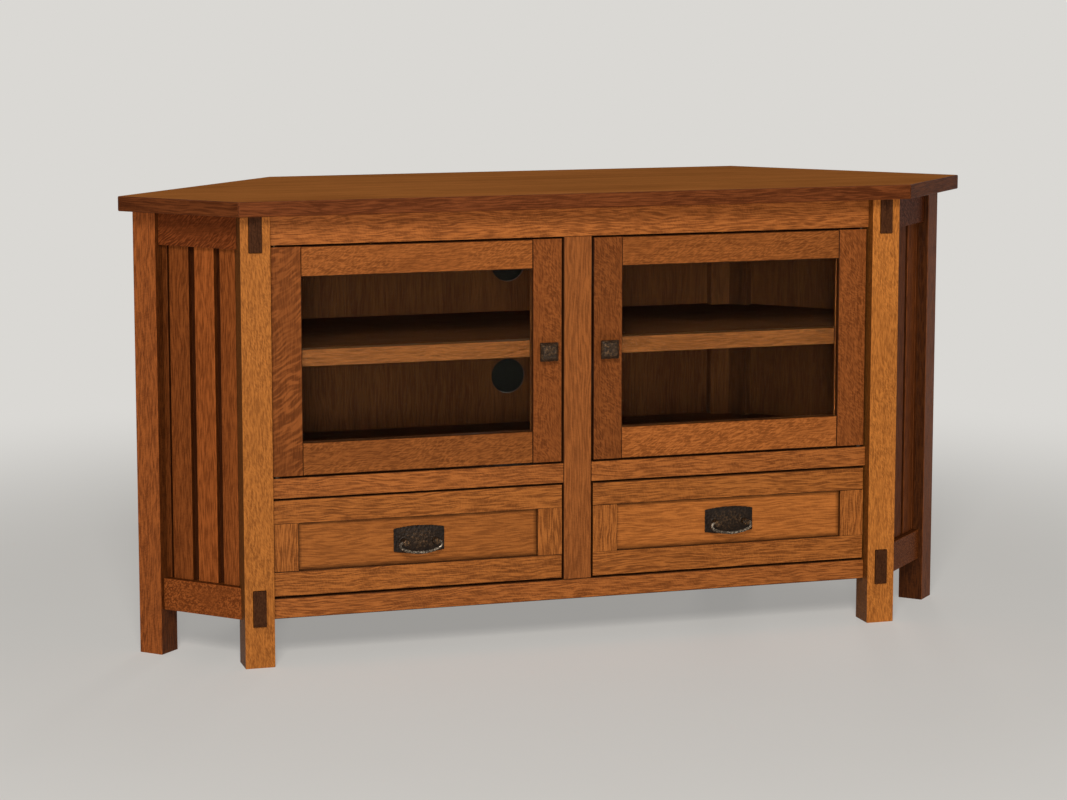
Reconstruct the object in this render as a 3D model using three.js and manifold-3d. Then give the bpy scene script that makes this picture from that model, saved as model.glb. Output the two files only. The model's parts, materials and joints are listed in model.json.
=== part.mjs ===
// Corner cabinet for a television, in quarter-sawn oak: a six-sided top on four posts, slatted sides
// that run back at 45 degrees, a face frame with two glass doors over two drawers, and one shelf.
// Millimetres, +Z up, front towards -Y, origin under the middle of the bounding box on the floor.

import * as THREE from 'three';
import { mergeVertices } from 'three/addons/utils/BufferGeometryUtils.js';
import Module from 'manifold-3d';

const wasm = await Module();
wasm.setup();

// Overall sizes
const cabinetWidth = 1520;
const cabinetDepth = 488;
const cabinetHeight = 780;
const sideReach = 170;             // each slanted side, out past the front edge of the top
const sideTurn = Math.PI / 4;      // of the slanted sides, so that the back edges fit a square corner

// Joints and clearances
const seam = 0.3;                  // left between pieces that are glued or screwed together
const reveal = 3;                  // gap round the doors and the drawer fronts
const cutOverrun = 5;              // how far a cutting shape runs past the face that it opens

// Top board
const topThickness = 25;

// Posts and legs
const frontPostSize = 50;
const frontPostInset = 7.5;        // outer faces inside the ends of the front edge of the top
const frontPostSetback = 28;       // front faces behind the front edge of the top
const rearPostSize = 45;
const backLegWidth = 50;
const backLegThickness = 35;
const wallGap = 2;                 // posts and legs inside the rear edges of the top

// Face frame
const frameSetback = 19;           // frame behind the faces of the posts
const frameThickness = 22;
const centreStileWidth = 50;
const topRailHeight = 52;
const middleRailHeight = 34;
const bottomRailHeight = 34.5;
const floorClearance = 77;
const drawerOpeningHeight = 169;

// Slanted sides, measured inwards from the outer faces of the rear posts
const sideStart = 18;              // where the side meets the front post, behind its face
const sideRailInset = 8;
const sideTopRailHeight = 58;
const sideBottomRailHeight = 54;
const slatInset = 18;
const slatThickness = 10;
const sideBackingThickness = 6;
const frontSlatWidth = 32;
const rearSlatWidth = 10;
const rearSlatGap = 4;
const slatGap = 12;
const broadSlats = 2;              // between the front and the rear slat, sharing what is left

// Back panels, with two cable holes in the middle one
const backPanelThickness = 8;
const backPanelInset = 5;          // behind the panels, to the outside of posts and legs
const cableHoleRadius = 32;
const cableHoleRise = 87;          // centre above the deck, and above the shelf
const cableHoleSides = 40;

// Floors
const deckThickness = 19;
const bottomPanelThickness = 12;
const bottomPanelRise = 7;          // above the lower edge of the bottom rail

// Shelf
const shelfThickness = 19;
const shelfSetback = 6;            // front edge behind the backs of the posts
const shelfEdgeHeight = 28;
const shelfEdgeDepth = 25;
const shelfPinRadius = 3;
const shelfPinLength = 12;
const shelfPinSides = 12;

// Tenon plugs in the fronts of the front posts
const plugWidth = 22;
const plugHeight = 61;
const plugProud = 3.2;
const plugMortise = 8;
const lowerPlugDrop = 7;            // below the lower edge of the bottom rail

// Doors
const doorThickness = 20;
const doorStileWidth = 52;
const doorTopRailHeight = 50;
const doorBottomRailHeight = 55;
const rabbetWidth = 8;
const rabbetDepth = 9;
const glassThickness = 4;
const hingePinInset = 8;           // pin axis in from the door's outer edge
const hingePinSetback = 7;         // pin axis behind the door's front face
const hingePinRadius = 3;
const hingePinEngagement = 12;     // how far a pin reaches into its rail
const hingeCollarRadius = 6;
const pinSides = 20;

// Knobs
const knobWidth = 32;
const knobFaceWidth = 22;
const knobRimThickness = 4;
const knobCrown = 5;
const knobStemRadius = 8;
const knobStemLength = 8;
const knobStemSides = 24;

// Drawers
const drawerFrontThickness = 20;
const drawerStileWidth = 43;
const drawerTopRailHeight = 40;
const drawerBottomRailHeight = 42;
const drawerPanelRecess = 8;
const drawerPanelThickness = 8;
const drawerPanelLap = 8;
const drawerBoxDrop = 26;          // top of the box below the middle rail
const drawerBackGap = 4;           // box in front of the back legs and of the slanted back panels
const drawerSideThickness = 12;
const drawerSideGap = 6;           // box inside the opening, at each side
const drawerBottomThickness = 6;
const drawerBottomLift = 6;

// Centre partition and drawer runners
const partitionThickness = 19;
const runnerWidth = 12;            // under a drawer side
const guideHeight = 18;
const guideThickness = 10;
const guideGap = 1;

// Drawer pulls
const plateWidth = 88;
const plateHeight = 48;
const plateEndHeight = 39.5;
const plateThickness = 3;
const earSpacing = 54;
const earRadius = 5.5;
const earNose = 5;                 // past the pivot
const bailPivotDrop = 2;           // pivot below the middle of the plate
const bailPivotStandoff = 14;      // pivot in front of the plate
const bailRadius = 2.8;
const bailPinGap = 0.4;
const bailSideGap = 0.7;           // between an arm and its ear
const bailDrop = 18;
const bailBend = 5;
const bailSides = 10;
const bailSteps = 44;
const plateCurveSteps = 12;
const bailHipShares = { across: 2 / 3, down: 0.8 };
const bailDipShare = 2 - bailHipShares.down;   // keeps the grip smooth at the hips

// Finishes
const oakFront = { color: 0xa8682f, roughness: 0.5, metalness: 0 };
const oakDoor = { color: 0x98552a, roughness: 0.5, metalness: 0 };
const oakTop = { color: 0x7d4c22, roughness: 0.42, metalness: 0 };
const oakSide = { color: 0x86481f, roughness: 0.5, metalness: 0 };
const oakInside = { color: 0x5a3a20, roughness: 0.65, metalness: 0 };
const darkWood = { color: 0x35221a, roughness: 0.5, metalness: 0 };
const bronze = { color: 0x3a332a, roughness: 0.45, metalness: 0.85 };
const clearGlass = { color: 0xdfe6e4, roughness: 0.05, metalness: 0, transparent: true, opacity: 0.25 };

// Levels above the floor
const topUnderside = cabinetHeight - topThickness;
const bottomRailTop = floorClearance + bottomRailHeight;
const middleRailBase = bottomRailTop + drawerOpeningHeight;
const middleRailTop = middleRailBase + middleRailHeight;
const topRailBase = topUnderside - topRailHeight;
const deckBase = middleRailTop - deckThickness;
const bottomPanelBase = floorClearance + bottomPanelRise;
const bottomPanelTop = bottomPanelBase + bottomPanelThickness;
const doorBase = middleRailTop + reveal;
const doorTop = topRailBase - reveal;
const doorMiddle = (doorBase + doorTop) / 2;
const shelfTop = doorMiddle + shelfEdgeHeight / 2;
const drawerBase = bottomRailTop + reveal;
const drawerTop = middleRailBase - reveal;
const runnerTop = drawerBase - seam;

// Planes from front to back
const topFront = -cabinetDepth / 2;
const postFace = topFront + frontPostSetback;
const postBack = postFace + frontPostSize;
const frameFace = postFace + frameSetback;
const frameBack = frameFace + frameThickness;
const backFace = cabinetDepth / 2 - wallGap;
const backPanelFace = backFace - backPanelInset - backPanelThickness;
const shelfFront = postBack + shelfSetback;

// Planes from side to side, on the right
const topFrontEdge = cabinetWidth - 2 * sideReach;
const postOuter = topFrontEdge / 2 - frontPostInset;
const postInner = postOuter - frontPostSize;
const openingInner = centreStileWidth / 2;
const openingWidth = postInner - openingInner;
const doorWidth = openingWidth - 2 * reveal;

// The right side's own frame: along runs back beside the side, inset runs inwards from its outer plane
const along = new THREE.Vector2(Math.cos(sideTurn), Math.sin(sideTurn));
const inwards = new THREE.Vector2(-Math.sin(sideTurn), Math.cos(sideTurn));
const sideOrigin = new THREE.Vector2(postOuter, postFace + sideStart);
const fromSide = (run, inset) =>
  sideOrigin.clone().addScaledVector(along, run).addScaledVector(inwards, inset);
const insetAt = (run, y) => (y - sideOrigin.y - run * along.y) / inwards.y;
const runAt = (inset, y) => (y - sideOrigin.y - inset * inwards.y) / along.y;
const runAtPost = (inset) => inset * Math.tan(sideTurn);

const topSideCorner = new THREE.Vector2(cabinetWidth / 2, topFront + sideReach * Math.tan(sideTurn));
const rearPostBack = topSideCorner.clone().sub(sideOrigin).dot(along) - wallGap;
const rearPostFront = rearPostBack - rearPostSize;
const cornerPanelFace = rearPostBack - backPanelInset - backPanelThickness;
const slatBack = slatInset + slatThickness;
const wallThickness = slatBack + sideBackingThickness;
const legCornerInset = insetAt(rearPostBack, backFace);
const legCorner = fromSide(rearPostBack, legCornerInset);
const legEndInset = legCornerInset - backLegWidth;
const legEndX = legCorner.x - backLegWidth;
const legFrontRun = rearPostBack - backLegThickness;
const legFrontY = backFace - backLegThickness;
const postGap = seam / along.x;

const cabinet = new THREE.Group();

// Shapes

const pair = (a, b) => [Math.min(a, b), Math.max(a, b)];
const mirrored = (points) => points.map((p) => new THREE.Vector2(-p.x, p.y));
const bothSides = (rightHalf) => [...rightHalf, ...mirrored(rightHalf).reverse()];
const point = (x, y) => new THREE.Vector2(x, y);

function part(name, finish, geometry, parent = cabinet) {
  const mesh = new THREE.Mesh(geometry, new THREE.MeshStandardMaterial(finish));
  mesh.name = name;
  parent.add(mesh);
  return mesh;
}

// A straight board between two planes on each axis.
function board(name, finish, xs, ys, zs, parent) {
  const size = [xs, ys, zs].map(([low, high]) => high - low);
  const mesh = part(name, finish, new THREE.BoxGeometry(...size), parent);
  mesh.position.set(...[xs, ys, zs].map(([low, high]) => (low + high) / 2));
  return mesh;
}

// A board cut to an outline seen from above.
function plank(name, finish, outline, zs, parent) {
  const depth = zs[1] - zs[0];
  const mesh = part(name, finish, extruded(outline, depth), parent);
  mesh.position.z = zs[0];
  return mesh;
}

function extruded(outline, depth, curveSegments = 1) {
  const shape = outline instanceof THREE.Shape ? outline : new THREE.Shape(outline);
  return new THREE.ExtrudeGeometry(shape, { depth, bevelEnabled: false, curveSegments });
}

// An outline in Y and Z, run along X from x0.
function alongX(geometry, x0) {
  const turn = new THREE.Matrix4().makeBasis(
    new THREE.Vector3(0, 1, 0), new THREE.Vector3(0, 0, 1), new THREE.Vector3(1, 0, 0));
  return geometry.applyMatrix4(turn).translate(x0, 0, 0);
}

// An outline in X and Z, run along Y and ending at y1.
function alongY(geometry, y1) {
  return geometry.rotateX(Math.PI / 2).translate(0, y1, 0);
}

function block(xs, ys, zs) {
  const size = [xs, ys, zs].map(([low, high]) => high - low);
  const middle = [xs, ys, zs].map(([low, high]) => (low + high) / 2);
  return new THREE.BoxGeometry(...size).translate(...middle);
}

// A round bar on Z, X or Y through a centre.
function bar(axis, radius, length, centre, sides) {
  const geometry = new THREE.CylinderGeometry(radius, radius, length, sides);
  if (axis === 'z') geometry.rotateX(Math.PI / 2);
  if (axis === 'x') geometry.rotateZ(Math.PI / 2);
  return geometry.translate(...centre);
}

function solid(geometry) {
  const bare = geometry.clone();
  bare.deleteAttribute('normal');
  bare.deleteAttribute('uv');
  const merged = mergeVertices(bare);
  return new wasm.Manifold(new wasm.Mesh({
    numProp: 3,
    vertProperties: Float32Array.from(merged.attributes.position.array),
    triVerts: Uint32Array.from(merged.index.array),
  }));
}

// One closed body from a first shape, the shapes joined to it and the shapes cut from it.
function joined(first, added, cut = []) {
  let body = solid(first);
  for (const extra of added) body = body.add(solid(extra));
  for (const hole of cut) body = body.subtract(solid(hole));
  const mesh = body.getMesh();
  const geometry = new THREE.BufferGeometry();
  geometry.setAttribute('position', new THREE.BufferAttribute(mesh.vertProperties, 3));
  geometry.setIndex(new THREE.BufferAttribute(mesh.triVerts, 1));
  geometry.computeVertexNormals();
  return geometry;
}

const sides = [
  { side: 'left', hand: -1 },
  { side: 'right', hand: 1 },
];

// Top

function addTop() {
  const rearRun = cabinetDepth - (topSideCorner.y - topFront);
  const rearX = topSideCorner.x - rearRun * Math.tan(sideTurn);
  const outline = bothSides([
    point(topFrontEdge / 2, topFront),
    topSideCorner,
    point(rearX, cabinetDepth / 2),
  ]);
  plank('top_board', oakTop, outline, [topUnderside, cabinetHeight]);
}

// Posts, legs and plugs

function addFrontPost(side, hand) {
  const xs = pair(hand * postInner, hand * postOuter);
  const centreX = hand * (postInner + postOuter) / 2;
  const pinZ = shelfTop - shelfEdgeHeight - seam - shelfPinRadius;
  const pin = bar('y', shelfPinRadius, shelfPinLength + seam,
    [centreX, postBack + (shelfPinLength - seam) / 2, pinZ], shelfPinSides);
  const plugX = pair(centreX - plugWidth / 2, centreX + plugWidth / 2);
  const plugFloor = postFace + plugMortise;
  const upperTop = topUnderside - seam;
  const lowerPlugBase = floorClearance - lowerPlugDrop;
  const plugLevels = {
    upper: [upperTop - plugHeight, upperTop],
    lower: [lowerPlugBase, lowerPlugBase + plugHeight],
  };
  const mortises = Object.entries(plugLevels).map(([level, [low, high]]) => block(
    [plugX[0] - seam, plugX[1] + seam],
    [postFace - cutOverrun, plugFloor],
    [low - seam, level === 'upper' ? high + cutOverrun : high + seam]));
  const post = block(xs, [postFace, postBack], [0, topUnderside - seam]);
  part(`${side}_front_post`, oakFront, joined(post, [pin], mortises));
  for (const [level, zs] of Object.entries(plugLevels)) {
    board(`${side}_${level}_plug`, darkWood, plugX, [postFace - plugProud, plugFloor - seam], zs);
  }
}

function addRearPost(side, hand, sideGroup) {
  const ys = pair(0, hand * rearPostSize);
  const pinZ = shelfTop - shelfThickness - seam - shelfPinRadius;
  const pinY = rearPostSize + (shelfPinLength - seam) / 2;
  const pin = bar('y', shelfPinRadius, shelfPinLength + seam,
    [(rearPostFront + rearPostBack) / 2, hand * pinY, pinZ], shelfPinSides);
  const post = block([rearPostFront, rearPostBack], ys, [0, topUnderside - seam]);
  part(`${side}_rear_post`, oakSide, joined(post, [pin]), sideGroup);
}

// The leg in the rear corner is bent round the corner, so it joins the middle and the slanted back panel.
function addBackLeg(side, hand) {
  const rightOutline = [
    point(legEndX, legFrontY),
    fromSide(legFrontRun, insetAt(legFrontRun, legFrontY)),
    fromSide(legFrontRun, legEndInset),
    fromSide(rearPostBack, legEndInset),
    legCorner,
    point(legEndX, backFace),
  ];
  const outline = hand > 0 ? rightOutline : mirrored(rightOutline);
  const cornerX = fromSide(legFrontRun, insetAt(legFrontRun, legFrontY)).x;
  const pinZ = shelfTop - shelfThickness - seam - shelfPinRadius;
  const pin = bar('y', shelfPinRadius, shelfPinLength + seam,
    [hand * (legEndX + cornerX) / 2, legFrontY - (shelfPinLength - seam) / 2, pinZ], shelfPinSides);
  const leg = extruded(outline, topUnderside - seam);
  part(`${side}_back_leg`, oakInside, joined(leg, [pin]));
}

// Face frame

function addFaceFrame() {
  const ys = [frameFace, frameBack];
  const acrossX = [-postInner + seam, postInner - seam];
  const holeRadius = hingePinRadius + seam;
  const holeX = postInner - reveal - hingePinInset;
  const holeY = frameFace + hingePinSetback;
  const holeDepth = hingePinEngagement + seam;
  const hole = (x, z) =>
    bar('z', holeRadius, holeDepth + cutOverrun, [x, holeY, z], pinSides);
  const upperHoleZ = topRailBase + (holeDepth - cutOverrun) / 2;
  const lowerHoleZ = middleRailTop - (holeDepth - cutOverrun) / 2;

  const topRail = block(acrossX, ys, [topRailBase, topUnderside - seam]);
  const topHoles = [-holeX, holeX].map((x) => hole(x, upperHoleZ));
  part('top_rail', oakFront, joined(topRail, [], topHoles));
  board('bottom_rail', oakFront, acrossX, ys, [floorClearance, bottomRailTop]);
  board('centre_stile', oakFront, [-openingInner, openingInner], ys,
    [bottomRailTop + seam, topRailBase - seam]);
  for (const { side, hand } of sides) {
    const xs = pair(hand * (openingInner + seam), hand * (postInner - seam));
    const rail = block(xs, ys, [middleRailBase, middleRailTop]);
    part(`${side}_middle_rail`, oakFront, joined(rail, [], [hole(hand * holeX, lowerHoleZ)]));
  }
}

// Slanted sides, in a group turned to run back along the side

function addSide(side, hand) {
  const group = new THREE.Group();
  group.position.set(hand * sideOrigin.x, sideOrigin.y, 0);
  group.rotation.z = hand > 0 ? sideTurn : Math.PI - sideTurn;
  cabinet.add(group);

  const turned = (points) => points.map((p) => point(p.x, hand * p.y));
  const rearEnd = rearPostFront - seam;
  const frontEnd = (inset) => point(runAtPost(inset) + postGap, inset);
  const bandOutline = turned([
    frontEnd(sideRailInset),
    point(rearEnd, sideRailInset),
    point(rearEnd, wallThickness),
    frontEnd(wallThickness),
  ]);
  const bottomRailZ = [floorClearance, floorClearance + sideBottomRailHeight];
  const topRailZ = [topUnderside - sideTopRailHeight, topUnderside - seam];
  plank(`${side}_side_top_rail`, oakSide, bandOutline, topRailZ, group);
  plank(`${side}_side_bottom_rail`, oakSide, bandOutline, bottomRailZ, group);

  const slatOutline = [frontEnd(slatInset)];
  let run = runAtPost(slatInset) + frontSlatWidth;
  const broadLength = rearEnd - rearSlatWidth - rearSlatGap - run - broadSlats * slatGap;
  const slatWidth = broadLength / broadSlats;
  slatOutline.push(point(run, slatInset), point(run, slatBack));
  for (let i = 0; i < broadSlats; i++) {
    run += slatGap;
    slatOutline.push(point(run, slatBack), point(run, slatInset));
    run += slatWidth;
    slatOutline.push(point(run, slatInset), point(run, slatBack));
  }
  run += rearSlatGap;
  slatOutline.push(point(run, slatBack), point(run, slatInset));
  slatOutline.push(point(rearEnd, slatInset), point(rearEnd, wallThickness), frontEnd(wallThickness));
  plank(`${side}_slat_panel`, oakSide, turned(slatOutline),
    [bottomRailZ[1] + seam, topRailZ[0] - seam], group);

  addRearPost(side, hand, group);
  board(`${side}_corner_back_panel`, oakInside,
    [cornerPanelFace, cornerPanelFace + backPanelThickness],
    pair(hand * (rearPostSize + seam), hand * (legEndInset - seam)),
    [floorClearance, topUnderside - seam], group);
}

// Back

function addBackPanel() {
  const half = legEndX - seam;
  const ys = [backPanelFace, backPanelFace + backPanelThickness];
  const panel = block([-half, half], ys, [floorClearance, topUnderside - seam]);
  const holes = [middleRailTop, shelfTop].map((floor) => bar('y', cableHoleRadius,
    backPanelThickness + 2 * cutOverrun, [0, (ys[0] + ys[1]) / 2, floor + cableHoleRise], cableHoleSides));
  part('back_panel', oakInside, joined(panel, [], holes));
}

// Floors and shelf

// Right half of what fits inside the walls, from where the slanted side starts behind the front post.
function insideWalls() {
  const wallInset = wallThickness + seam;
  return [
    fromSide(runAtPost(wallInset) - postGap, wallInset),
    fromSide(rearPostFront - seam, wallInset),
    fromSide(rearPostFront - seam, rearPostSize + seam),
    fromSide(cornerPanelFace - seam, rearPostSize + seam),
    fromSide(cornerPanelFace - seam, legEndInset - seam),
    fromSide(legFrontRun - seam, legEndInset - seam),
    fromSide(legFrontRun - seam, insetAt(legFrontRun - seam, legFrontY - seam)),
    point(legEndX - seam, legFrontY - seam),
    point(legEndX - seam, backPanelFace - seam),
  ];
}

function addFloors() {
  const outline = bothSides([
    point(postInner - seam, frameBack + seam),
    point(postInner - seam, postBack + seam),
    point(postOuter - seam, postBack + seam),
    ...insideWalls(),
  ]);
  plank('deck', oakInside, outline, [deckBase, middleRailTop]);
  plank('bottom_panel', oakInside, outline, [bottomPanelBase, bottomPanelTop]);
}

function addShelf() {
  const wallInset = wallThickness + seam;
  const edgeBack = shelfFront + shelfEdgeDepth;
  const outerAt = (y) => fromSide(runAt(wallInset, y), wallInset);
  const edgeOutline = bothSides([
    point(postOuter - seam, shelfFront),
    fromSide(runAtPost(wallInset) - postGap, wallInset),
    outerAt(edgeBack),
  ]);
  const shelfOutline = bothSides([outerAt(edgeBack + seam), ...insideWalls().slice(1)]);
  plank('shelf_edge', oakFront, edgeOutline, [shelfTop - shelfEdgeHeight, shelfTop]);
  plank('shelf', oakInside, shelfOutline, [shelfTop - shelfThickness, shelfTop]);
}

// Partition between the drawers, on a foot that carries and guides their inner sides

const drawerBoxInner = openingInner + drawerSideGap;
const drawerBoxOuter = postInner - drawerSideGap;
const drawerBoxFront = frameFace + drawerFrontThickness + seam;
const runnerOuter = drawerBoxOuter + guideGap + guideThickness;
const runnerInset = (sideOrigin.x + cornerPanelFace * along.x - runnerOuter) / -inwards.x;
const cornerPanelY = fromSide(cornerPanelFace, runnerInset).y;
const legEndY = fromSide(legFrontRun, legEndInset).y;
const drawerBoxBack = Math.min(cornerPanelY, legEndY) - drawerBackGap;

function addPartition() {
  const foot = drawerBoxInner + runnerWidth;
  const guide = drawerBoxInner - guideGap;
  const web = partitionThickness / 2;
  const guideTop = runnerTop + guideHeight;
  const outline = bothSides([
    point(foot, bottomPanelTop + seam),
    point(foot, runnerTop),
    point(guide, runnerTop),
    point(guide, guideTop),
    point(web, guideTop),
    point(web, deckBase - seam),
  ]);
  const ys = [Math.max(frameBack + seam, drawerBoxFront), backPanelFace - seam];
  part('centre_partition', oakInside, alongY(extruded(outline, ys[1] - ys[0]), ys[1]));
}

function addRunner(side, hand) {
  const guide = drawerBoxOuter + guideGap;
  const rightOutline = [
    point(drawerBoxOuter - runnerWidth, bottomPanelTop + seam),
    point(runnerOuter, bottomPanelTop + seam),
    point(runnerOuter, runnerTop + guideHeight),
    point(guide, runnerTop + guideHeight),
    point(guide, runnerTop),
    point(drawerBoxOuter - runnerWidth, runnerTop),
  ];
  const outline = hand > 0 ? rightOutline : mirrored(rightOutline);
  const front = postBack + seam;
  part(`${side}_drawer_runner`, oakInside, alongY(extruded(outline, drawerBoxBack - front), drawerBoxBack));
}

// Doors

function addKnob(side, hand) {
  const centreX = hand * (openingInner + reveal + doorStileWidth / 2);
  const rimBack = frameFace - seam - knobStemLength;
  const rimFront = rimBack - knobRimThickness;
  const half = knobWidth / 2;
  const stem = bar('y', knobStemRadius, knobStemLength + knobRimThickness / 2,
    [centreX, rimBack + (knobStemLength - knobRimThickness / 2) / 2, doorMiddle], knobStemSides);
  const rim = block([centreX - half, centreX + half], [rimFront, rimBack],
    [doorMiddle - half, doorMiddle + half]);
  const crown = new THREE.CylinderGeometry(
    half * Math.SQRT2, knobFaceWidth / 2 * Math.SQRT2, knobCrown, 4, 1, false, Math.PI / 4);
  crown.translate(centreX, rimFront - knobCrown / 2, doorMiddle);
  part(`${side}_knob`, bronze, joined(rim, [stem, crown]));
}

function addDoor(side, hand) {
  const lock = openingInner + reveal;
  const hinge = lock + doorWidth;
  const front = frameFace;
  const back = front + doorThickness;
  const lip = back - rabbetDepth;

  // Seen from above, from the face side round the rabbet at the back.
  const stile = (edge, inner) => {
    const inwardsSign = Math.sign(inner - edge);
    const step = inner - inwardsSign * rabbetWidth;
    return [point(edge, front), point(inner, front), point(inner, lip),
      point(step, lip), point(step, back), point(edge, back)]
      .map((p) => point(hand * p.x, p.y));
  };
  const rail = (edge, inner) => {
    const inwardsSign = Math.sign(inner - edge);
    const step = inner - inwardsSign * rabbetWidth;
    return [point(front, edge), point(front, inner), point(lip, inner),
      point(lip, step), point(back, step), point(back, edge)];
  };

  const height = doorTop - doorBase;
  const lockStile = extruded(stile(lock, lock + doorStileWidth), height);
  part(`${side}_door_lock_stile`, oakDoor, lockStile).position.z = doorBase;

  const pinX = hand * (hinge - hingePinInset);
  const pinY = front + hingePinSetback;
  const pinReach = reveal + hingePinEngagement;
  const pin = (z) => bar('z', hingePinRadius, pinReach + hingePinRadius, [pinX, pinY, z], pinSides);
  const collar = bar('z', hingeCollarRadius, reveal,
    [pinX, pinY, doorBase - reveal / 2 + seam], pinSides);
  const lowerPin = pin(doorBase - (pinReach - hingePinRadius) / 2);
  const upperPin = pin(doorTop + (pinReach - hingePinRadius) / 2);
  const hingeStile = extruded(stile(hinge, hinge - doorStileWidth), height).translate(0, 0, doorBase);
  part(`${side}_door_hinge_stile`, oakDoor, joined(hingeStile, [collar, lowerPin, upperPin]));

  const railXs = pair(hand * (lock + doorStileWidth + seam), hand * (hinge - doorStileWidth - seam));
  const railLength = railXs[1] - railXs[0];
  const bottomInner = doorBase + doorBottomRailHeight;
  const topInner = doorTop - doorTopRailHeight;
  part(`${side}_door_bottom_rail`, oakDoor,
    alongX(extruded(rail(doorBase, bottomInner), railLength), railXs[0]));
  part(`${side}_door_top_rail`, oakDoor,
    alongX(extruded(rail(doorTop, topInner), railLength), railXs[0]));

  const spread = rabbetWidth - seam;
  board(`${side}_door_glass`, clearGlass,
    [railXs[0] - seam - spread, railXs[1] + seam + spread],
    [lip + seam, lip + seam + glassThickness],
    [bottomInner - spread, topInner + spread]);

  addKnob(side, hand);
}

// Drawers

// The bail's centre line, from the end of one pin round the grip to the end of the other.
function bailCurve() {
  const arm = earSpacing / 2 + earRadius + bailSideGap + bailRadius;
  const pinEnd = earSpacing / 2 - earRadius + bailPinGap;
  const hip = point(arm * bailHipShares.across, -bailDrop * bailHipShares.down);
  const v = (x, z) => new THREE.Vector3(x, 0, z);
  const half = (s) => [
    new THREE.LineCurve3(v(s * pinEnd, 0), v(s * (arm - bailBend), 0)),
    new THREE.QuadraticBezierCurve3(v(s * (arm - bailBend), 0), v(s * arm, 0), v(s * arm, -bailBend)),
    new THREE.QuadraticBezierCurve3(v(s * arm, -bailBend),
      v(s * arm, -bailDrop * (2 * bailHipShares.down - 1)), v(s * hip.x, hip.y)),
  ];
  const reversed = (curve) => curve.isLineCurve3
    ? new THREE.LineCurve3(curve.v2, curve.v1)
    : new THREE.QuadraticBezierCurve3(curve.v2, curve.v1, curve.v0);
  const path = new THREE.CurvePath();
  for (const curve of half(-1)) path.add(curve);
  path.add(new THREE.QuadraticBezierCurve3(
    v(-hip.x, hip.y), v(0, -bailDrop * bailDipShare), v(hip.x, hip.y)));
  for (const curve of half(1).reverse()) path.add(reversed(curve));
  return path;
}

function addPull(side, centreX, centreZ, mountY) {
  const halfWidth = plateWidth / 2;
  const endZ = plateEndHeight / 2;
  const crest = plateHeight - endZ;
  const outline = new THREE.Shape();
  outline.moveTo(-halfWidth, -endZ);
  outline.quadraticCurveTo(0, -crest, halfWidth, -endZ);
  outline.lineTo(halfWidth, endZ);
  outline.quadraticCurveTo(0, crest, -halfWidth, endZ);
  outline.closePath();

  const plateBack = mountY - seam;
  const plateFront = plateBack - plateThickness;
  const pivotY = plateFront - bailPivotStandoff;
  const plate = alongY(extruded(outline, plateThickness, plateCurveSteps), plateBack);
  const earLength = plateThickness + bailPivotStandoff + earNose;
  const ears = [-1, 1].map((s) => bar('y', earRadius, earLength,
    [s * earSpacing / 2, plateBack - earLength / 2, -bailPivotDrop], pinSides));
  const pivotHole = bar('x', bailRadius + bailPinGap, earSpacing + 2 * earRadius + 2 * cutOverrun,
    [0, pivotY, -bailPivotDrop], pinSides);
  const plateGeometry = joined(plate, ears, [pivotHole]);
  part(`${side}_pull_plate`, bronze, plateGeometry).position.set(centreX, 0, centreZ);

  const section = new THREE.Shape();
  section.absarc(0, 0, bailRadius, 0, 2 * Math.PI);
  const bail = new THREE.ExtrudeGeometry(section, {
    steps: bailSteps, curveSegments: bailSides, bevelEnabled: false, extrudePath: bailCurve(),
  });
  part(`${side}_bail`, bronze, bail).position.set(centreX, pivotY, centreZ - bailPivotDrop);
}

function addDrawer(side, hand) {
  const inner = openingInner + reveal;
  const outer = postInner - reveal;
  const front = frameFace;
  const back = front + drawerFrontThickness;
  const frontXs = pair(hand * inner, hand * outer);
  const panelXs = [frontXs[0] + drawerStileWidth, frontXs[1] - drawerStileWidth];
  const panelZs = [drawerBase + drawerBottomRailHeight, drawerTop - drawerTopRailHeight];
  const widen = ([low, high], by) => [low - by, high + by];
  const panelFace = front + drawerPanelRecess;

  const frame = block(frontXs, [front, back], [drawerBase, drawerTop]);
  const opening = block(panelXs, [front - cutOverrun, back + cutOverrun], panelZs);
  const rabbet = block(widen(panelXs, drawerPanelLap), [panelFace, back + cutOverrun],
    widen(panelZs, drawerPanelLap));
  part(`${side}_drawer_front_frame`, oakFront, joined(frame, [], [opening, rabbet]));

  const lap = drawerPanelLap - seam;
  const panelFront = panelFace + seam;
  board(`${side}_drawer_front_panel`, oakFront, widen(panelXs, lap),
    [panelFront, panelFront + drawerPanelThickness], widen(panelZs, lap));

  const sideZs = [drawerBase, middleRailBase - drawerBoxDrop];
  const sideYs = [drawerBoxFront, drawerBoxBack];
  board(`${side}_drawer_inner_side`, oakInside,
    pair(hand * drawerBoxInner, hand * (drawerBoxInner + drawerSideThickness)), sideYs, sideZs);
  board(`${side}_drawer_outer_side`, oakInside,
    pair(hand * (drawerBoxOuter - drawerSideThickness), hand * drawerBoxOuter), sideYs, sideZs);

  const boxXs = widen(pair(hand * (drawerBoxInner + drawerSideThickness),
    hand * (drawerBoxOuter - drawerSideThickness)), -seam);
  const bottomZs = [drawerBase + drawerBottomLift, drawerBase + drawerBottomLift + drawerBottomThickness];
  board(`${side}_drawer_bottom`, oakInside, boxXs, sideYs, bottomZs);
  board(`${side}_drawer_back`, oakInside, boxXs,
    [drawerBoxBack - drawerSideThickness, drawerBoxBack], [bottomZs[1] + seam, sideZs[1]]);

  addPull(side, hand * (inner + outer) / 2, (panelZs[0] + panelZs[1]) / 2, panelFront);
}

addTop();
addFaceFrame();
addBackPanel();
addFloors();
addShelf();
addPartition();
for (const { side, hand } of sides) {
  addFrontPost(side, hand);
  addBackLeg(side, hand);
  addSide(side, hand);
  addRunner(side, hand);
  addDoor(side, hand);
  addDrawer(side, hand);
}

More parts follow.
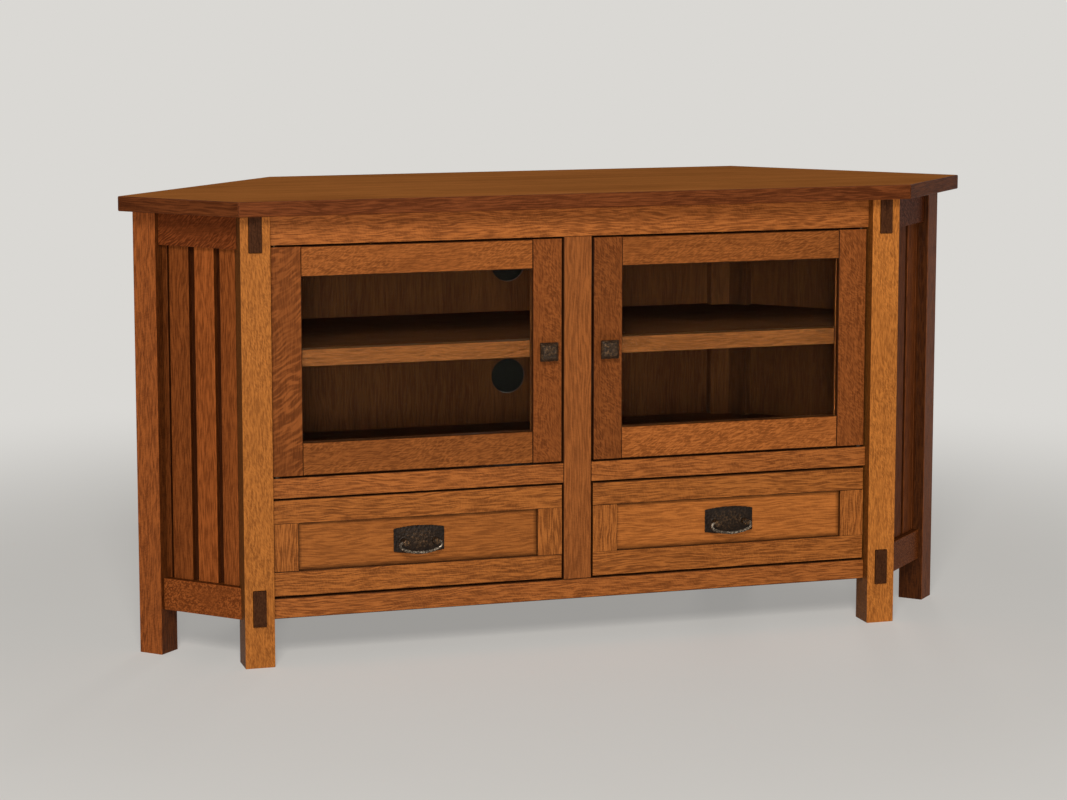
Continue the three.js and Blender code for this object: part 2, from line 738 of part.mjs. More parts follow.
export default cabinet;
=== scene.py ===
"""Corner television cabinet in quarter-sawn oak: the finish of its joinery, its hardware and its stage.

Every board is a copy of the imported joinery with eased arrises. It carries its own board coordinates,
along the grain, across it and through the thickness, so that the oak runs the way each board was cut.
"""

import json
import math
import random

import bmesh
import bpy
from bpy.props import FloatProperty, FloatVectorProperty, IntProperty, PointerProperty
from mathutils import Matrix, Vector, noise

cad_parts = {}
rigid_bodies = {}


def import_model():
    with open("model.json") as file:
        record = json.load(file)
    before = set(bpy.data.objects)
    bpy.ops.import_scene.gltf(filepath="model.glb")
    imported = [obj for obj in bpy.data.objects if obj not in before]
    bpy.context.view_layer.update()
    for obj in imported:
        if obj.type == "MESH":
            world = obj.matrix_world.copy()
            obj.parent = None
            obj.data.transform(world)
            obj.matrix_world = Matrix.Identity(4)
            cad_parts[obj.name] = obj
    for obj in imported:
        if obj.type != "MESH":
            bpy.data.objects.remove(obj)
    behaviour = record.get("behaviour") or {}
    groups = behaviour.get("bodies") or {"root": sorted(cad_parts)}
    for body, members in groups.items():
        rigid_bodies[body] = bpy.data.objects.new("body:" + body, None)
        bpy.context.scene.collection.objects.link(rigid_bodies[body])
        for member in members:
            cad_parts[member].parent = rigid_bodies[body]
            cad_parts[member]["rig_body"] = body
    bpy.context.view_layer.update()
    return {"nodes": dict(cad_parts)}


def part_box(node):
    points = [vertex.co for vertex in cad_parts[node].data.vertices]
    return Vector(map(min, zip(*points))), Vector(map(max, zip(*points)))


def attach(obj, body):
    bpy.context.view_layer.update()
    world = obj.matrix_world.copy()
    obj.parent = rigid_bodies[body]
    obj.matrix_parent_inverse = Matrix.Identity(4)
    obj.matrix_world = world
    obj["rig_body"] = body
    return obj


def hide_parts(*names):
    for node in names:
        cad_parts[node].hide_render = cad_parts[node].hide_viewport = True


bl_info = {
    "name": "Corner television cabinet",
    "version": (1, 0, 0),
    "blender": (4, 5, 0),
    "location": "View3D > Sidebar > Cabinet",
    "description": "Finishes the joinery, doors, drawers and hardware of a corner television cabinet",
    "category": "Object",
}

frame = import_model()

SIDES = (("left", -1), ("right", 1))
SIDE_TURN = math.radians(45.0)
RIGHT = Vector((1.0, 0.0, 0.0))
BACK = Vector((0.0, 1.0, 0.0))
UP = Vector((0.0, 0.0, 1.0))
MERGE_DISTANCE = 0.00001
SPECK = 0.000001
SAW_PLAY = 0.00002
FLAT_ANGLE = math.radians(1.0)
SHARP_ANGLE = math.radians(24.0)
EDGE_FACING = 0.3
ARRIS_FACING = 0.97
FLAT_FACING = 0.98

# Painted shade on the edges of a board, as a share of the tone of its faces, darkest for edges in gaps and on
# the posts' sides
EDGE_SHADE = 0.55
FRONT_POST_SHADE = 0.38
REAR_POST_SHADE = 0.35
SLAT_SHADE = 0.3
BEAD_SHADE = 0.25
GAP_SHADE = 0.22

# How far a board may differ in tone from others of its stain
SPREAD = 0.06
SLAT_SPREAD = 0.1

# Width of a hammer mark on plates and knobs, and on bails, and how dents spread and sink the metal
DENT = 0.0042
BAIL_DENT = 0.0034
DENT_SPREAD = 1.3
DENT_SINK = 0.7

# The cushion of a plate: its reach as shares of the plate's width and height, and its polish
CUSHION_WIDTH = 0.9
CUSHION_HEIGHT = 0.85
CUSHION_POLISH = 0.5

# A screw head: its height, its upper face, and the reach and half width of its cross, in radii
HEAD_HEIGHT = 0.35
HEAD_TOP = 0.8
CROSS_REACH = 0.55
CROSS_HALF = 0.12
# Where the deck and the bottom panel take screws, as shares of half the width of the back panel
SCREW_SHARES = (-0.5, 0.0, 0.5)

# The lamps: place, width and the setting of their power. All shine at one spot inside the cabinet.
LAMPS = (
    ("Key lamp", (-2.0, -6.0, 4.2), 2.0, "key_power"),
    ("Low lamp", (-1.9, -6.3, 1.1), 1.0, "low_power"),
    ("Rear lamp", (2.6, 5.6, 0.5), 1.0, "rear_power"),
)
LAMP_TARGET = Vector((0.0, 0.0, 0.4))
LAMP_LIGHT = (1.0, 0.97, 0.93)
SKY_LIGHT = (1.0, 0.985, 0.96, 1.0)
# The card of painted shade behind the back panel: its colour, and its gap from the panel
SHADOW_CARD_COLOUR = (0.012, 0.012, 0.01, 1.0)
SHADOW_CARD_GAP = 0.02
# From which distance to which the floor turns into the backdrop, and from which share of it
FLOOR_FADE = (0.9, 2.6, 0.4)

# How much lighter or darker than their stain these boards are: mostly each board's own tone, with painted
# shade and painted light on some
BOARD_TONES_AND_SHADE = {
    "left_front_post": 0.9,
    "right_front_post": 1.05,
    "left_rear_post": 1.1,
    "top_rail": 1.06,
    "left_slat_2": 1.4,
    # Painted shade: the narrow rear slat, in the shadow of the rear post
    "left_slat_4": 0.6,
    "left_door_bottom_rail": 0.8,
    "right_door_bottom_rail": 1.35,
    "right_door_lock_stile": 0.88,
    "right_door_hinge_stile": 1.1,
    "left_drawer_front_panel": 0.92,
    "right_drawer_front_panel": 1.2,
    # Painted shade: the boards of the right side, which faces away from the lamps
    "right_rear_post": 0.7,
    "right_side_top_rail": 0.7,
    "right_side_bottom_rail": 0.7,
    "right_slat_1": 0.7,
    "right_slat_2": 0.7,
    "right_slat_3": 0.7,
    "right_slat_4": 0.5,
    "right_corner_back_panel": 1.35,
    # Painted light: the shelf, and a little the deck, made lighter than the dim light inside leaves them
    "shelf": 1.6,
    "deck": 1.1,
}

# Each stain: its colour, the slot of its boards, and what sets its grain apart from that of plain oak
STAINS = {
    "top": ("top", "oak_top", dict(
        streaks=0.35, lines=0.2, line_length=0.15, pores=0.1, fleck=0.05, roughness=0.4, wear=0.1,
        gloss=0.0)),
    "rim of the top": ("rim", "oak_top", dict(
        lines=0.6, line_length=0.08, pores=0.3, fleck=0.1, figure=0.7, wear=0.1, gloss=0.04)),
    "front posts": ("post", "oak_front", dict(
        streaks=0.2, line_length=0.03, pores=0.3, fleck=0.35, fleck_width=0.002, lean=30.0)),
    "rear posts": ("rear_post", "oak_side", dict(streaks=0.2, lines=0.7, line_length=0.05, pores=0.25)),
    "face frame": ("frame", "oak_front", dict(
        streaks=0.2, lines=0.75, line_length=0.06, pores=0.3, wear=0.1)),
    "centre stile": ("centre_stile", "oak_front", dict(
        streaks=0.2, line_length=0.08, pores=0.25, fleck=0.1, wear=0.1)),
    "plugs": ("plug", "dark_wood", dict(line_length=0.01, pores=0.6, roughness=0.5, wear=0.25, gloss=0.04)),
    "upper side rails": ("side_rail", "oak_side", dict(
        streaks=0.3, lines=0.2, pores=0.2, fleck=1.0, fleck_length=0.025, lean=45.0, gloss=0.04)),
    "lower side rails": ("side", "oak_side", dict(
        streaks=0.3, lines=0.1, pores=0.2, fleck=1.0, fleck_length=0.006, lean=30.0, gloss=0.04)),
    "sides": ("side", "oak_side", dict(
        streaks=0.2, lines=0.65, line_length=0.06, pores=0.25, fleck=0.1, gloss=0.04)),
    # Painted shade: the board behind the slats is stained dark so that the gaps read as deep shadow
    "behind the slats": ("backing", "oak_side", dict(
        lines=0.4, line_length=0.1, pores=0.3, fleck=0.0, wear=0.1, gloss=0.0)),
    "inside": ("inside", "oak_inside", dict(
        streaks=0.6, line_length=0.12, pores=0.3, fleck=0.0, roughness=0.62, wear=0.2, gloss=0.05)),
    "floors and shelf": ("floor", "oak_inside", dict(
        streaks=0.5, lines=0.4, line_length=0.12, pores=0.3, fleck=0.0, roughness=0.62, wear=0.2, gloss=0.0)),
    "shelf edge": ("shelf_edge", "oak_front", dict(line_length=0.07, pores=0.5)),
    "door stiles": ("door", "oak_door", dict(
        streaks=0.2, line_length=0.04, pores=0.2, fleck=0.55, fleck_length=0.016, lean=40.0, wear=0.1,
        gloss=0.05)),
    "flecked stile": ("door", "oak_door", dict(
        streaks=0.2, lines=0.35, line_length=0.04, pores=0.2, fleck=0.75, fleck_length=0.05,
        fleck_width=0.0055, lean=-62.0, wear=0.1, gloss=0.05)),
    "door rails": ("door_rail", "oak_door", dict(
        streaks=0.2, line_length=0.05, pores=0.25, fleck=0.5, fleck_length=0.016, lean=-25.0, wear=0.1,
        gloss=0.05)),
    "beads": ("door", "oak_door", dict(line_length=0.05, pores=0.3, fleck=0.1)),
    "drawer rails": ("drawer", "oak_front", dict(
        streaks=0.2, lines=0.8, line_length=0.07, pores=0.3, lean=75.0, wear=0.1)),
    "drawer panels": ("drawer", "oak_front", dict(streaks=0.25, line_length=0.07, pores=0.2, fleck=0.1)),
    "drawer boxes": ("drawer_box", "oak_inside", dict(
        lines=0.4, line_length=0.08, fleck=0.1, roughness=0.6, wear=0.3, gloss=0.1)),
}

# Each bronze: its patina, its bare metal, how far it is rubbed, its hammer marks, and whether it has a polish
BRONZES = {
    "hammered": ("bronze", "worn_bronze", 0.6, DENT, False),
    "plates": ("plate", "worn_bronze", 1.0, DENT, True),
    "rubbed by hands": ("bronze", "rubbed_bronze", 1.0, BAIL_DENT, False),
}


def srgb(red, green, blue):
    """A colour as seen on a screen, in the linear values that Blender works in."""
    linear = []
    for level in (red, green, blue):
        share = level / 255.0
        linear.append(share / 12.92 if share <= 0.04045 else ((share + 0.055) / 1.055) ** 2.4)
    return tuple(linear)


def colour(name, description, red, green, blue):
    return FloatVectorProperty(
        name=name, description=description, default=srgb(red, green, blue), subtype="COLOR", min=0.0, max=1.0)


def length(name, description, default):
    return FloatProperty(
        name=name, description=description, default=default, unit="LENGTH", min=0.0, precision=5)


def number(name, description, default, **more):
    return FloatProperty(name=name, description=description, default=default, **more)


class CabinetSizes(bpy.types.PropertyGroup):
    """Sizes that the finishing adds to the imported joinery."""

    arris: length("Arris", "Width of the eased edges of posts, rails and stiles", 0.0012)
    fine_arris: length("Fine arris", "Width of the eased edges of thin boards", 0.0007)
    gap_arris: length("Gap arris", "Width of the eased edges of the doors and the drawer fronts", 0.0013)
    top_arris: length("Top arris", "Width of the eased edges of the top board", 0.002)
    panel_lap: length("Panel lap", "How far a drawer panel reaches behind its frame", 0.0077)
    backing: length("Backing", "Thickness of the board behind the slats", 0.006)
    bead: length("Glass bead", "Width of the beads that hold the glass", 0.0075)
    screw_head: length("Screw head", "Diameter of the screws in the back panels", 0.007)
    knob_screw: length("Knob screw", "Diameter of the screw heads of the knobs and pulls", 0.008)
    soft_edge: length("Soft edge", "Rounding of the edges of the bronze", 0.0016)
    metal_grid: length("Metal grid", "Spacing of the mesh of the hammered bronze", 0.0007)
    dent: length("Dent depth", "Depth of the hammer marks in the bronze", 0.00045)
    dent_size: length("Dent size", "Width of one hammer mark", DENT)


class CabinetColours(bpy.types.PropertyGroup):
    """Colours of the stains and of the metal."""

    post: colour("Posts", "Stain of the front posts", 168, 101, 42)
    frame: colour("Face frame", "Stain of the rails and the centre stile", 150, 86, 38)
    centre_stile: colour("Centre stile", "Stain of the stile between the doors", 136, 77, 34)
    # Painted shade: the shelf edge is stained darker than the face frame, for the shade it sits in behind the
    # glass
    shelf_edge: colour("Shelf edge", "Stain of the front edge of the shelf", 116, 66, 29)
    door: colour("Door stiles", "Stain of the stiles of the doors", 122, 66, 28)
    door_rail: colour("Door rails", "Stain of the rails of the doors", 138, 78, 34)
    drawer: colour("Drawer fronts", "Stain of the drawer fronts", 150, 87, 37)
    # Painted light: the top is stained paler than the fronts, for the light that falls on it only at a slant
    top: colour("Top", "Stain of the top board", 194, 121, 61)
    rim: colour("Rim of the top", "Stain of the edge of the top board", 108, 56, 26)
    side: colour("Sides", "Stain of the slats and rails of the sides", 120, 62, 25)
    side_rail: colour("Upper side rails", "Stain of the upper rails of the sides", 100, 48, 19)
    rear_post: colour("Rear posts", "Stain of the rear posts", 130, 69, 29)
    inside: colour("Inside", "Stain of the back panels and of the partition", 84, 47, 21)
    # Painted shade: the deck, the bottom panel and the shelf are stained darker than the other inside boards,
    # for the shade inside
    floor: colour("Floors and shelf", "Stain of the deck, the bottom panel and the shelf", 58, 33, 17)
    # Painted shade: dark stain behind the slats, for the shadow in the gaps between them
    backing: colour("Backing", "Stain of the boards behind the slats", 56, 27, 12)
    drawer_box: colour("Drawer boxes", "Finish of the drawer boxes", 162, 114, 68)
    plug: colour("Plugs", "Stain of the tenon plugs", 68, 39, 21)
    bronze: colour("Bronze", "Dark patina of the knobs and bails", 46, 33, 22)
    plate: colour("Pull plates", "Dark patina of the pull plates", 34, 23, 14)
    worn_bronze: colour("Worn bronze", "Bare metal on the ridges of the plates and knobs", 138, 103, 68)
    rubbed_bronze: colour("Rubbed bronze", "Bare metal on the bails", 206, 190, 168)
    steel: colour("Steel", "Screws, pins and catches", 128, 124, 118)
    glass: colour("Glass", "Tint of the panes", 228, 234, 230)


class CabinetStage(bpy.types.PropertyGroup):
    """Camera, lamps and floor."""

    camera_place: FloatVectorProperty(
        name="Camera", description="Place of the camera", default=(-1.424, -4.676, 1.187), unit="LENGTH")
    camera_turn: number("Turn", "Turn of the camera to the right", math.radians(16.718), unit="ROTATION")
    camera_tilt: number("Tilt", "Tilt of the camera downwards", math.radians(7.489), unit="ROTATION")
    focal_length: number("Focal length", "In millimetres on a sensor 36 mm wide", 94.17)
    lens_drop: number("Lens drop", "Drop of the lens as a share of the picture's width", -0.08)
    floor: colour("Floor", "Colour of the floor", 236, 234, 230)
    backdrop: colour("Backdrop", "Colour behind the floor", 218, 216, 212)
    daylight: number("Daylight", "Strength of the light from all round", 0.12, min=0.0)
    key_power: number("Key lamp", "Power of the high lamp at the front", 270.0, unit="POWER")
    low_power: number("Low lamp", "Power of the low lamp, which shines inside", 150.0, unit="POWER")
    rear_power: number("Rear lamp", "Power of the lamp that lights the back panels", 170.0, unit="POWER")


# Shader nodes

def feed(tree, node, inputs):
    """Links the inputs of a node to sockets, or gives them values."""
    for name, value in inputs.items():
        if isinstance(value, bpy.types.NodeSocket):
            tree.links.new(value, node.inputs[name])
        else:
            node.inputs[name].default_value = value


def add(tree, kind, inputs=None, **settings):
    """A shader node in a tree, with its settings and its inputs."""
    made = tree.nodes.new(kind)
    for name, value in settings.items():
        setattr(made, name, value)
    feed(tree, made, inputs or {})
    return made


def calc(tree, operation, *values):
    return add(tree, "ShaderNodeMath", dict(enumerate(values)), operation=operation).outputs[0]


def times(tree, first, second):
    return calc(tree, "MULTIPLY", first, second)


def vector_calc(tree, operation, first, second):
    return add(tree, "ShaderNodeVectorMath", {0: first, 1: second}, operation=operation).outputs[0]


def axes_of(tree, **parts):
    return add(tree, "ShaderNodeCombineXYZ", parts).outputs[0]


def fade(tree, value, low, high, start=0.0, end=1.0):
    """A smooth step of a value, from start at low to end at high."""
    return add(tree, "ShaderNodeMapRange", {
        "Value": value, "From Min": low, "From Max": high, "To Min": start, "To Max": end},
        interpolation_type="SMOOTHSTEP").outputs["Result"]


def cloud(tree, place, factors, detail=2.0, roughness=0.5):
    """Soft noise, with its own number of marks to the metre along each axis."""
    return add(tree, "ShaderNodeTexNoise", {
        "Vector": vector_calc(tree, "MULTIPLY", place, factors), "Scale": 1.0, "Detail": detail,
        "Roughness": roughness}).outputs["Fac"]


def tint(tree, factor, first, second, blend="MIX"):
    return add(tree, "ShaderNodeMix", {"Factor": factor, 6: first, 7: second}, data_type="RGBA",
               blend_type=blend).outputs[2]


def dyed(tree, tone, red, green, blue):
    return tint(tree, 1.0, tone, (red, green, blue, 1.0), "MULTIPLY")


def floats(*names):
    return dict.fromkeys(names, "Float")


def new_group(name, inputs, outputs):
    """An empty node group with named sockets, what it is given, and the node for its results."""
    group = bpy.data.node_groups.new(name, "ShaderNodeTree")
    for in_out, sockets in (("INPUT", inputs), ("OUTPUT", outputs)):
        for socket_name, kind in sockets.items():
            group.interface.new_socket(name=socket_name, in_out=in_out, socket_type="NodeSocket" + kind)
    return group, group.nodes.new("NodeGroupInput").outputs, group.nodes.new("NodeGroupOutput")


def made_once(store):
    """Lets a function make each material or node group once, and then find it by its name."""
    def wrap(make):
        def find(name, *values, **settings):
            if name not in getattr(bpy.data, store):
                make(name, *values, **settings)
            return getattr(bpy.data, store)[name]
        return find
    return wrap


@made_once("node_groups")
def oak_grain(name):
    """Quarter-sawn oak: lines and pores along the board, and ray fleck that leans across it."""
    tree, given, result = new_group(
        name,
        {"Board": "Vector", "Stain": "Color",
         **floats("Streaks", "Lines", "Line Length", "Pores", "Fleck", "Fleck Length", "Fleck Width",
                  "Fleck Lean", "Figure")},
        {"Color": "Color", **floats("Roughness", "Height")})
    board, stain = given["Board"], given["Stain"]

    def swing(factors, detail):
        """Noise on both sides of zero, which bends what it is added to."""
        return calc(tree, "SUBTRACT", cloud(tree, board, factors, detail), 0.5)

    def streaked(place, run, across, through):
        """Noise whose marks have a given length along the first axis."""
        grid = axes_of(tree, X=calc(tree, "DIVIDE", 2.0, run), Y=across, Z=through)
        return cloud(tree, place, grid, 1.0)

    def measured(mask, setting):
        return times(tree, mask, given[setting])

    drift = swing((4.0, 14.0, 14.0), 2.0)
    wave = swing((22.0, 34.0, 34.0), 1.0)
    sway = axes_of(tree, Y=calc(tree, "MULTIPLY_ADD", drift, 0.03, times(tree, wave, 0.006)),
                   Z=times(tree, drift, 0.02))
    grain = vector_calc(tree, "ADD", board, sway)
    broad = cloud(tree, grain, (1.8, 46.0, 46.0), 3.0, 0.55)
    patches = cloud(tree, board, (3.5, 12.0, 12.0))

    lines = streaked(grain, given["Line Length"], 450.0, 450.0)
    line_dark = measured(fade(tree, lines, 0.47, 0.4), "Lines")
    line_light = measured(fade(tree, lines, 0.52, 0.59), "Lines")

    pores = fade(tree, cloud(tree, grain, (42.0, 640.0, 640.0), 1.0), 0.58, 0.66)
    rows = fade(tree, cloud(tree, grain, (3.0, 80.0, 80.0), 1.0), 0.36, 0.6, 0.5, 1.0)
    pore_depth = measured(times(tree, pores, rows), "Pores")

    curl = swing((30.0, 30.0, 30.0), 2.0)
    sweep = swing((9.0, 14.0, 14.0), 1.0)
    bend = axes_of(tree, X=calc(tree, "MULTIPLY_ADD", curl, 0.008, times(tree, sweep, 0.05)),
                   Y=times(tree, curl, 0.008))
    bent = vector_calc(tree, "ADD", board, bend)
    leaning = add(tree, "ShaderNodeVectorRotate", {"Vector": bent, "Angle": given["Fleck Lean"]},
                  rotation_type="Z_AXIS").outputs[0]
    rays = streaked(leaning, given["Fleck Length"], calc(tree, "DIVIDE", 1.0, given["Fleck Width"]), 140.0)
    flecked = measured(fade(tree, cloud(tree, board, (8.0, 26.0, 26.0)), 0.34, 0.56, 0.35, 1.0), "Fleck")
    ray_light = times(tree, fade(tree, rays, 0.51, 0.59), flecked)
    ray_dark = times(tree, fade(tree, rays, 0.49, 0.41), flecked)

    rings = add(tree, "ShaderNodeTexWave", {
        "Vector": vector_calc(tree, "MULTIPLY", grain, (0.35, 6.0, 18.0)), "Scale": 3.0, "Distortion": 3.5,
        "Detail": 2.0, "Detail Scale": 1.4}, wave_type="RINGS", rings_direction="X")
    figure = measured(fade(tree, rings.outputs["Fac"], 0.35, 0.9), "Figure")

    light = dyed(tree, stain, 1.7, 1.8, 1.9)
    dark = dyed(tree, stain, 0.42, 0.36, 0.32)
    look = stain
    for mask, strength, layer in (
        (measured(fade(tree, broad, 0.5, 0.72), "Streaks"), 0.6, dark),
        (measured(fade(tree, broad, 0.5, 0.3), "Streaks"), 0.5, light),
        (fade(tree, patches, 0.4, 0.75), 0.25, dark),
        (figure, 0.7, dark),
        (line_light, 0.6, light),
        (line_dark, 0.8, dark),
        (ray_light, 0.8, light),
        (ray_dark, 0.55, dark),
        (pore_depth, 1.0, dyed(tree, stain, 0.26, 0.2, 0.16)),
    ):
        look = tint(tree, times(tree, mask, strength), look, layer)

    height = calc(tree, "MULTIPLY_ADD", pore_depth, -1.0, times(tree, ray_light, 0.25))
    feed(tree, result, {
        "Color": look,
        "Roughness": calc(tree, "MULTIPLY_ADD", ray_light, -0.08, times(tree, pore_depth, 0.25)),
        "Height": calc(tree, "SUBTRACT", height, times(tree, line_dark, 0.5))})


@made_once("node_groups")
def edge_wear_and_highlight(name):
    """Wear and painted highlight: pale where an arris is rubbed, which also stands for the highlight along
    the eased edges, with a breath of dirt in broad patches.
    """
    tree, given, result = new_group(
        name, {"Place": "Vector", "Color": "Color", "Worn Color": "Color", **floats("Arris", "Amount")},
        {"Color": "Color"})
    place, clean = given["Place"], given["Color"]
    scuffs = fade(tree, cloud(tree, place, (38.0, 38.0, 38.0), 4.0, 0.65), 0.3, 0.7)
    mask = times(tree, times(tree, scuffs, given["Arris"]), given["Amount"])
    haze = fade(tree, cloud(tree, place, (3.1, 3.1, 3.1), 3.0), 0.35, 0.7, 0.0, 0.16)
    dirty = tint(tree, haze, clean, dyed(tree, clean, 0.62, 0.58, 0.54))
    feed(tree, result, {"Color": tint(tree, mask, dirty, given["Worn Color"])})


@made_once("node_groups")
def hammer_marks(name):
    """Patina of hammered bronze: dents of uneven tone, pale where it is rubbed."""
    tree, given, result = new_group(
        name, {"Place": "Vector", "Patina": "Color", "Bare": "Color", **floats("Rub", "Scale")},
        {"Color": "Color", **floats("Roughness", "Metallic", "Height")})
    place, patina = given["Place"], given["Patina"]
    grid = add(tree, "ShaderNodeVectorMath", {"Vector": place, "Scale": given["Scale"]},
               operation="SCALE").outputs[0]
    dents = add(tree, "ShaderNodeTexVoronoi", {"Vector": grid, "Scale": 1.0, "Smoothness": 0.35},
                feature="SMOOTH_F1").outputs["Distance"]
    speckle = cloud(tree, place, (900.0, 900.0, 900.0), 3.0, 0.6)
    blotch = cloud(tree, place, (130.0, 130.0, 130.0), 3.0, 0.6)
    ridge = calc(tree, "MULTIPLY_ADD", fade(tree, dents, 0.42, 0.78), 0.8, 0.2)
    rubbed = times(tree, times(tree, ridge, fade(tree, speckle, 0.4, 0.66)), given["Rub"])
    look = tint(tree, fade(tree, blotch, 0.35, 0.7), patina, dyed(tree, patina, 0.4, 0.38, 0.36))
    matt = calc(tree, "MULTIPLY_ADD", speckle, 0.25, 0.36)
    feed(tree, result, {
        "Color": tint(tree, rubbed, look, given["Bare"]),
        "Roughness": calc(tree, "MULTIPLY_ADD", rubbed, -0.16, matt),
        "Metallic": calc(tree, "MULTIPLY_ADD", rubbed, 0.35, 0.5),
        "Height": calc(tree, "ADD", times(tree, dents, 0.7), times(tree, speckle, 0.3))})


# Materials

def blank(name):
    """A new node material, with its tree and its shader."""
    material = bpy.data.materials.new(name)
    material.use_nodes = True
    tree = material.node_tree
    return material, tree, tree.nodes["Principled BSDF"]


def attribute(tree, name, output):
    return add(tree, "ShaderNodeAttribute", attribute_name=name).outputs[output]


def object_place(tree):
    return add(tree, "ShaderNodeTexCoord").outputs["Object"]


def bump(tree, shader, height, distance, strength):
    made = add(tree, "ShaderNodeBump", {"Height": height, "Distance": distance, "Strength": strength})
    feed(tree, shader, {"Normal": made.outputs["Normal"]})


def show_mix(tree, factor, first, second):
    """Shows one shader where a factor is 0, and another where it is 1."""
    mix = add(tree, "ShaderNodeMixShader", {0: factor, 1: first.outputs[0], 2: second.outputs[0]})
    feed(tree, tree.nodes["Material Output"], {"Surface": mix.outputs[0]})


@made_once("materials")
def oak(name, stain, streaks=0.4, lines=0.5, line_length=0.045, pores=0.4, fleck=0.2, fleck_length=0.012,
        fleck_width=0.0025, lean=60.0, figure=0.0, roughness=0.46, wear=0.4, gloss=0.08):
    """One stain of oak. The board's own tone, with the painted shade of its edges, comes from its attribute,
    the rest from the grain group.
    """
    _, tree, shader = blank(name)
    board = attribute(tree, "board", "Vector")
    tone_and_shade = add(tree, "ShaderNodeHueSaturation", {
        "Value": attribute(tree, "tone", "Fac"), "Color": (*stain, 1.0)}).outputs["Color"]
    grain = add(tree, "ShaderNodeGroup", {
        "Board": board, "Stain": tone_and_shade, "Streaks": streaks, "Lines": lines, "Line Length": line_length,
        "Pores": pores, "Fleck": fleck, "Fleck Length": fleck_length, "Fleck Width": fleck_width,
        "Fleck Lean": math.radians(lean), "Figure": figure}, node_tree=oak_grain("Oak grain")).outputs
    # Pale arrises: partly wear, partly a painted highlight along the eased edges
    worn = add(tree, "ShaderNodeGroup", {
        "Place": board, "Arris": attribute(tree, "arris", "Fac"), "Color": grain["Color"],
        "Worn Color": dyed(tree, tone_and_shade, 1.75, 1.75, 1.75), "Amount": wear}, node_tree=edge_wear_and_highlight("Edge wear"))
    feed(tree, shader, {
        "Base Color": worn.outputs["Color"],
        "Roughness": calc(tree, "ADD", grain["Roughness"], roughness),
        "Specular IOR Level": gloss})
    bump(tree, shader, grain["Height"], 0.0006, 0.6)


@made_once("materials")
def bronze(name, patina, bare, rub, dent, polished):
    """Hammered bronze. Where a piece carries its own polish, that says how far each spot is rubbed."""
    _, tree, shader = blank(name)
    if polished:
        rub = times(tree, attribute(tree, "polish", "Fac"), rub)
    marks = add(tree, "ShaderNodeGroup", {
        "Place": object_place(tree), "Patina": (*patina, 1.0), "Bare": (*bare, 1.0), "Rub": rub,
        "Scale": 1.0 / dent}, node_tree=hammer_marks("Hammer marks")).outputs
    feed(tree, shader, {
        "Base Color": marks["Color"], "Roughness": marks["Roughness"], "Metallic": marks["Metallic"],
        "Specular IOR Level": 0.3})
    bump(tree, shader, marks["Height"], 0.0005, 0.7)


@made_once("materials")
def clear_glass(name, tone):
    _, tree, shader = blank(name)
    smear = cloud(tree, object_place(tree), (9.0, 9.0, 22.0), 3.0, 0.6)
    feed(tree, shader, {
        "Roughness": fade(tree, smear, 0.45, 0.8, 0.01, 0.05), "Base Color": (*tone, 1.0),
        "Transmission Weight": 1.0, "IOR": 1.06})
    shadow = add(tree, "ShaderNodeLightPath").outputs["Is Shadow Ray"]
    show_mix(tree, shadow, shader, add(tree, "ShaderNodeBsdfTransparent"))


@made_once("materials")
def bright_steel(name, tone):
    _, tree, shader = blank(name)
    bright = (*tone, 1.0)
    place = object_place(tree)
    brushed = cloud(tree, place, (700.0, 700.0, 160.0), 3.0, 0.6)
    tarnish = cloud(tree, place, (90.0, 90.0, 90.0), 3.0, 0.6)
    feed(tree, shader, {
        "Base Color": tint(tree, fade(tree, tarnish, 0.4, 0.7), bright, dyed(tree, bright, 0.5, 0.47, 0.43)),
        "Roughness": fade(tree, brushed, 0.3, 0.7, 0.28, 0.5), "Metallic": 0.9})
    bump(tree, shader, brushed, 0.0001, 0.4)


@made_once("materials")
def catch_plastic(name):
    _, tree, shader = blank(name)
    pebble = cloud(tree, object_place(tree), (1500.0, 1500.0, 1500.0))
    feed(tree, shader, {
        "Base Color": tint(tree, pebble, (0.03, 0.016, 0.009, 1.0), (0.045, 0.025, 0.014, 1.0)),
        "Roughness": fade(tree, pebble, 0.3, 0.7, 0.45, 0.6)})
    bump(tree, shader, pebble, 0.0001, 0.4)


def sizes():
    return bpy.context.scene.cabinet_sizes


def colours():
    return bpy.context.scene.cabinet_colours


def stained(kind):
    """The oak of a stain, and the slot of its boards."""
    colour_name, slot, settings = STAINS[kind]
    return oak(f"Oak, {kind}", getattr(colours(), colour_name), **settings), slot


def beaten(kind):
    patina, bare, *settings = BRONZES[kind]
    return bronze(f"Bronze, {kind}", getattr(colours(), patina), getattr(colours(), bare), *settings)


def plain_steel():
    return bright_steel("Steel", colours().steel)


# Shapes

def packed(node):
    """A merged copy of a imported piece, with each flat face in one."""
    bm = bmesh.new()
    bm.from_mesh(frame["nodes"][node].data)
    bmesh.ops.remove_doubles(bm, verts=bm.verts, dist=MERGE_DISTANCE)
    bmesh.ops.dissolve_limit(bm, angle_limit=FLAT_ANGLE, verts=bm.verts, edges=bm.edges)
    return bm


def saw(bm, point, away):
    """Cuts a solid at a plane, drops what lies on the side that away points to, and closes the cut."""
    bmesh.ops.bisect_plane(
        bm, geom=bm.verts[:] + bm.edges[:] + bm.faces[:], plane_co=point, plane_no=away, clear_outer=True)
    bmesh.ops.edgeloop_fill(bm, edges=[edge for edge in bm.edges if edge.is_boundary])
    bmesh.ops.recalc_face_normals(bm, faces=bm.faces)
    return bm


def between(bm, axis, low, high):
    """A copy of a solid, sawn just inside two places along an axis, where other faces may lie level."""
    piece = bm.copy()
    saw(piece, axis * (low + SAW_PLAY), -axis)
    saw(piece, axis * (high - SAW_PLAY), axis)
    return piece


